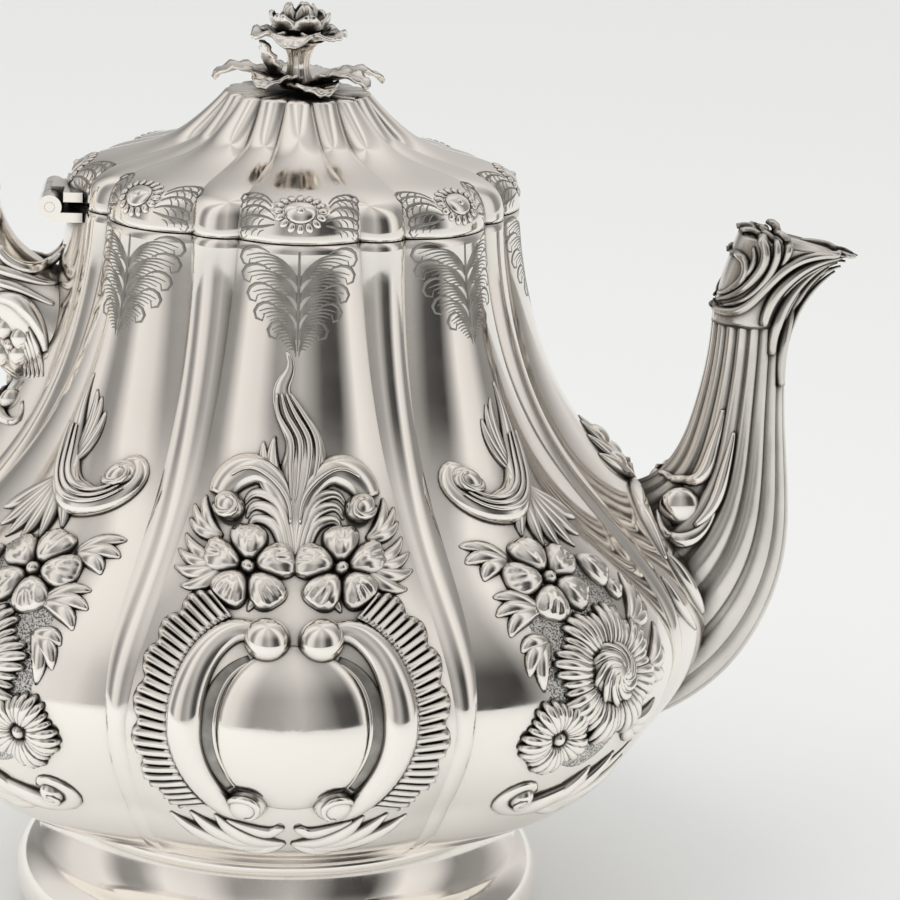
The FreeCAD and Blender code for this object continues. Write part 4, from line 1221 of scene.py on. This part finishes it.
# %% A bent leaf
def leaf(form, path, width, turn, teeth=5, vein=0.25, thickness=0.7):
    """Veined leaf along a path of (distance from the axis, height), turned about Z."""
    first = len(form.verts)
    sheet = bmesh.ops.create_grid(form, x_segments=18, y_segments=10, size=1)["verts"]
    for vert in sheet:
        along, side = (vert.co.x + 1) / 2, vert.co.y
        scallop = 1 + 0.14 * abs(math.sin(math.pi * teeth * along))
        half = width * max(0.10, math.sin(math.pi * (0.06 + 0.9 * along)) ** 0.7) * scallop
        ribs = vein * math.cos(2 * math.pi * teeth * (along - 0.12 * abs(side))) * abs(side)
        midrib = vein * math.exp(-(side / 0.16) ** 2)
        vert.co = (along, half * side, ribs + 0.22 * half * abs(side) ** 1.6 + midrib)
    faces = listed_once(face for vert in sheet for face in vert.link_faces)
    bmesh.ops.solidify(form, geom=faces, thickness=thickness)
    curve = smooth_curve(path)
    spin = Matrix.Rotation(turn, 4, "Z")
    for vert in list(form.verts)[first:]:
        share = vert.co.x
        ahead = curve(share + 0.02) - curve(share - 0.02)
        ahead /= np.linalg.norm(ahead)
        reach, height = curve(share)
        lift = vert.co.z
        vert.co = spin @ Vector((reach - ahead[1] * lift, vert.co.y, height + ahead[0] * lift))


# %% Leaves round the stalk
leaves_form = bmesh.new()
LEAVES = [
    (200, [(2.2, 163.0), (4.8, 165.6), (6.4, 168.6), (7.0, 171.4)], 3.4),
    (184, [(2.4, 163.4), (8.0, 165.6), (12.6, 166.0), (16.0, 164.2)], 3.4),
    (236, [(2.4, 163.0), (6.0, 164.6), (9.6, 165.2), (12.6, 164.0)], 4.2),
    (290, [(2.4, 162.8), (6.0, 163.4), (10.0, 163.8), (13.6, 163.4)], 4.4),
    (338, [(2.4, 163.0), (6.6, 165.2), (10.6, 165.4), (14.0, 163.6)], 3.6),
    (10, [(2.4, 163.2), (8.0, 164.8), (12.6, 165.6), (16.4, 163.8)], 3.0),
    (62, [(2.4, 162.8), (6.4, 164.0), (10.4, 164.6), (14.0, 163.8)], 4.2),
    (126, [(2.4, 162.8), (6.4, 164.2), (10.4, 164.8), (14.4, 164.0)], 4.2),
]
for turn, path, width in LEAVES:
    leaf(leaves_form, path, width, math.radians(turn))
make_piece("finial_foliage", leaves_form, "lid", CAST_SILVER, ["finial_leaves"])

# %% Stalk
STALK = [(0, 162.4), (3.4, 162.4), (2.7, 164.0), (2.1, 166.4), (2.4, 168.6), (3.4, 170.4), (4.8, 171.2),
         (0, 171.6)]
stalk_form = spin_outline(STALK[:2] + sampled(STALK[2:7], count=20) + STALK[7:], columns=48)
for vert in stalk_form.verts:
    turn = math.atan2(vert.co.y, vert.co.x)
    groove = 1 - 0.05 * abs(math.sin(turn * 6))
    vert.co.x *= groove
    vert.co.y *= groove
make_piece("finial_stalk", stalk_form, "lid", CAST_SILVER, ["finial_stem"])

# %% Flower on the stalk
DROOPS = (0.4, -0.8, 0.9)
bloom_form = bmesh.new()
for number in range(6):
    turn = math.radians(18 + 60 * number)
    droop = DROOPS[number % 3]
    path = [(1.6, 170.6), (4.6, 172.2), (7.2, 172.6), (9.2, 171.8 + droop)]
    leaf(bloom_form, path, 4.3, turn, teeth=3, vein=0.3)
for number in range(6):
    turn = math.radians(48 + 60 * number)
    path = [(1.2, 171.4), (4.0, 173.6), (5.0, 175.4), (4.9, 176.4)]
    leaf(bloom_form, path, 3.0, turn, teeth=3, vein=0.25)
for number in range(5):
    turn = math.radians(72 * number)
    path = [(0.8, 172.0), (2.4, 174.8), (2.6, 176.6), (1.9, 177.6)]
    leaf(bloom_form, path, 2.0, turn, teeth=3, vein=0.2)
bmesh.ops.transform(bloom_form, matrix=Matrix.Translation((0, 0, 173.4)), verts=ball(bloom_form, 12, 3.0))
make_piece("finial_flower", bloom_form, "lid", CAST_SILVER, ["finial_bloom"])

# %% [markdown]
# ## Pieces that stay as measured
#
# Hinge, bezel, nut, handle and the small joints are plain enough to be shown as they were measured.
# They only get their finishes.

# %% Finishes on measured pieces
IVORY_NODES = ("upper_insulator", "lower_insulator", "insulator_pins")
for name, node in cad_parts.items():
    node.data.materials.clear()
    node.data.materials.append(IVORY if name in IVORY_NODES else CAST_SILVER)
shown = sorted(name for name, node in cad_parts.items() if not node.hide_render)
print("measured pieces still shown:", shown)

# %% [markdown]
# ## Table, light and camera
#
# The pot stands on a pale table before an even pale backdrop. Its silver mirrors something else: a
# ring of light and dark cards, which draw the bands that make polished silver look like silver.
# Only the reflections see the cards. The soft box lights the scene and is kept out of them.

# %% Table
TABLE_HALF = 6
TABLE_COLOUR = (0.92, 0.92, 0.915, 1)
floor_form = bmesh.new()
bmesh.ops.create_grid(floor_form, x_segments=1, y_segments=1, size=TABLE_HALF)
floor_mesh = bpy.data.meshes.new("table")
floor_form.to_mesh(floor_mesh)
floor_form.free()
table = bpy.data.objects.new("table", floor_mesh)
bpy.context.scene.collection.objects.link(table)
table_paint, table_shader = new_material("table_paint", metallic=0.0, roughness=0.7)
table_shader.inputs["Base Color"].default_value = TABLE_COLOUR
table.data.materials.append(table_paint)
print("staged:", table.name)

# %% Ring of cards, by bearing in degrees and brightness
CARDS = [(-180, 0.50), (-148, 0.24), (-122, 0.74), (-100, 0.80), (-86, 0.26), (-74, 0.30), (-60, 0.84),
         (-38, 0.72), (-22, 0.30), (-8, 0.36), (6, 0.48), (18, 0.30), (30, 0.08), (48, 0.05), (56, 0.34),
         (66, 0.86), (84, 0.72), (98, 0.24), (120, 0.30), (142, 0.70), (180, 0.50)]
GREEN_SHARE = 0.98
BLUE_SHARE = 0.955
world = bpy.data.worlds.new("room")
bpy.context.scene.world = world
world.use_nodes = True
room = world.node_tree
direction = room.nodes.new("ShaderNodeTexCoord")
parts = room.nodes.new("ShaderNodeSeparateXYZ")
front = sum_node(room, "MULTIPLY", -1)
bearing = sum_node(room, "ARCTAN2")
round_the_room = ramp(room, -math.pi, math.pi, 0.0, 1.0)
round_the_room.interpolation_type = "LINEAR"
cards = room.nodes.new("ShaderNodeValToRGB")
while len(cards.color_ramp.elements) < len(CARDS):
    cards.color_ramp.elements.new(0.5)
for stop, (degrees, grey) in zip(cards.color_ramp.elements, CARDS):
    stop.position = (degrees + 180) / 360
    stop.color = (grey, grey * GREEN_SHARE, grey * BLUE_SHARE, 1)
wire(room,
     (direction, "Generated", parts, 0),
     (parts, "Y", front, 0),
     (parts, "X", bearing, 0),
     (front, 0, bearing, 1),
     (bearing, 0, round_the_room, "Value"),
     (round_the_room, "Result", cards, "Fac"))
print("cards round the pot:", len(CARDS))

# %% Cards for reflections, backdrop for everything else
OVERHEAD = (0.97, 0.955, 0.93, 1)
BACKDROP = (0.87, 0.88, 0.87, 1)
overhead = ramp(room, 0.45, 1.0, 0.0, 0.5)
room_colour = colour_mix(room, OVERHEAD, OVERHEAD)
room_light = room.nodes["Background"]
paper = room.nodes.new("ShaderNodeBackground")
paper.inputs["Color"].default_value = BACKDROP
seen = room.nodes.new("ShaderNodeLightPath")
choose = room.nodes.new("ShaderNodeMixShader")
wire(room,
     (parts, "Z", overhead, "Value"),
     (cards, "Color", room_colour, "A"),
     (overhead, "Result", room_colour, "Factor"),
     (room_colour, "Result", room_light, "Color"),
     (seen, "Is Glossy Ray", choose, "Fac"),
     (paper, "Background", choose, 1),
     (room_light, "Background", choose, 2),
     (choose, "Shader", room.nodes["World Output"], "Surface"))
print("backdrop:", BACKDROP[:3])

# %% Soft box
LAMP_PLACE = Vector((-0.5, -0.35, 0.95))
LAMP_AIM = Vector((0, 0, 0.08))
lamp_data = bpy.data.lights.new("soft_box", "AREA")
lamp_data.size = 0.9
lamp_data.energy = 3
soft_box = bpy.data.objects.new("soft_box", lamp_data)
soft_box.location = LAMP_PLACE
soft_box.rotation_euler = (LAMP_AIM - soft_box.location).to_track_quat("-Z", "Y").to_euler()
soft_box.visible_glossy = False
bpy.context.scene.collection.objects.link(soft_box)
print("lamp:", soft_box.name)

# %% Camera
CAMERA_DISTANCE = 597 * MM
CAMERA_HEIGHT = 254.9 * MM
CAMERA_YAW = math.radians(2.97)
CAMERA_PITCH = math.radians(15.11)
CAMERA_ROLL = math.radians(2.32)
POT_TURN = math.radians(1.46)
camera_data = bpy.data.cameras.new("camera")
camera_data.sensor_width = 36
camera_data.lens = 129.16
camera_data.clip_start = 0.01
camera = bpy.data.objects.new("camera", camera_data)
bpy.context.scene.collection.objects.link(camera)
aim = Vector((math.sin(CAMERA_YAW) * math.cos(CAMERA_PITCH), math.cos(CAMERA_YAW) * math.cos(CAMERA_PITCH),
              -math.sin(CAMERA_PITCH)))
level = Vector((math.cos(CAMERA_YAW), -math.sin(CAMERA_YAW), 0))
upward = level.cross(aim)
across_picture = level * math.cos(CAMERA_ROLL) + upward * math.sin(CAMERA_ROLL)
up_picture = upward * math.cos(CAMERA_ROLL) - level * math.sin(CAMERA_ROLL)
axes = Matrix((across_picture, up_picture, -aim)).transposed().to_4x4()
camera.matrix_world = (Matrix.Rotation(-POT_TURN, 4, "Z")
                       @ Matrix.Translation((0, -CAMERA_DISTANCE, CAMERA_HEIGHT)) @ axes)
bpy.context.scene.camera = camera
bpy.context.scene.view_settings.view_transform = "Standard"
print("camera at:", tuple(round(number, 3) for number in camera.matrix_world.translation))
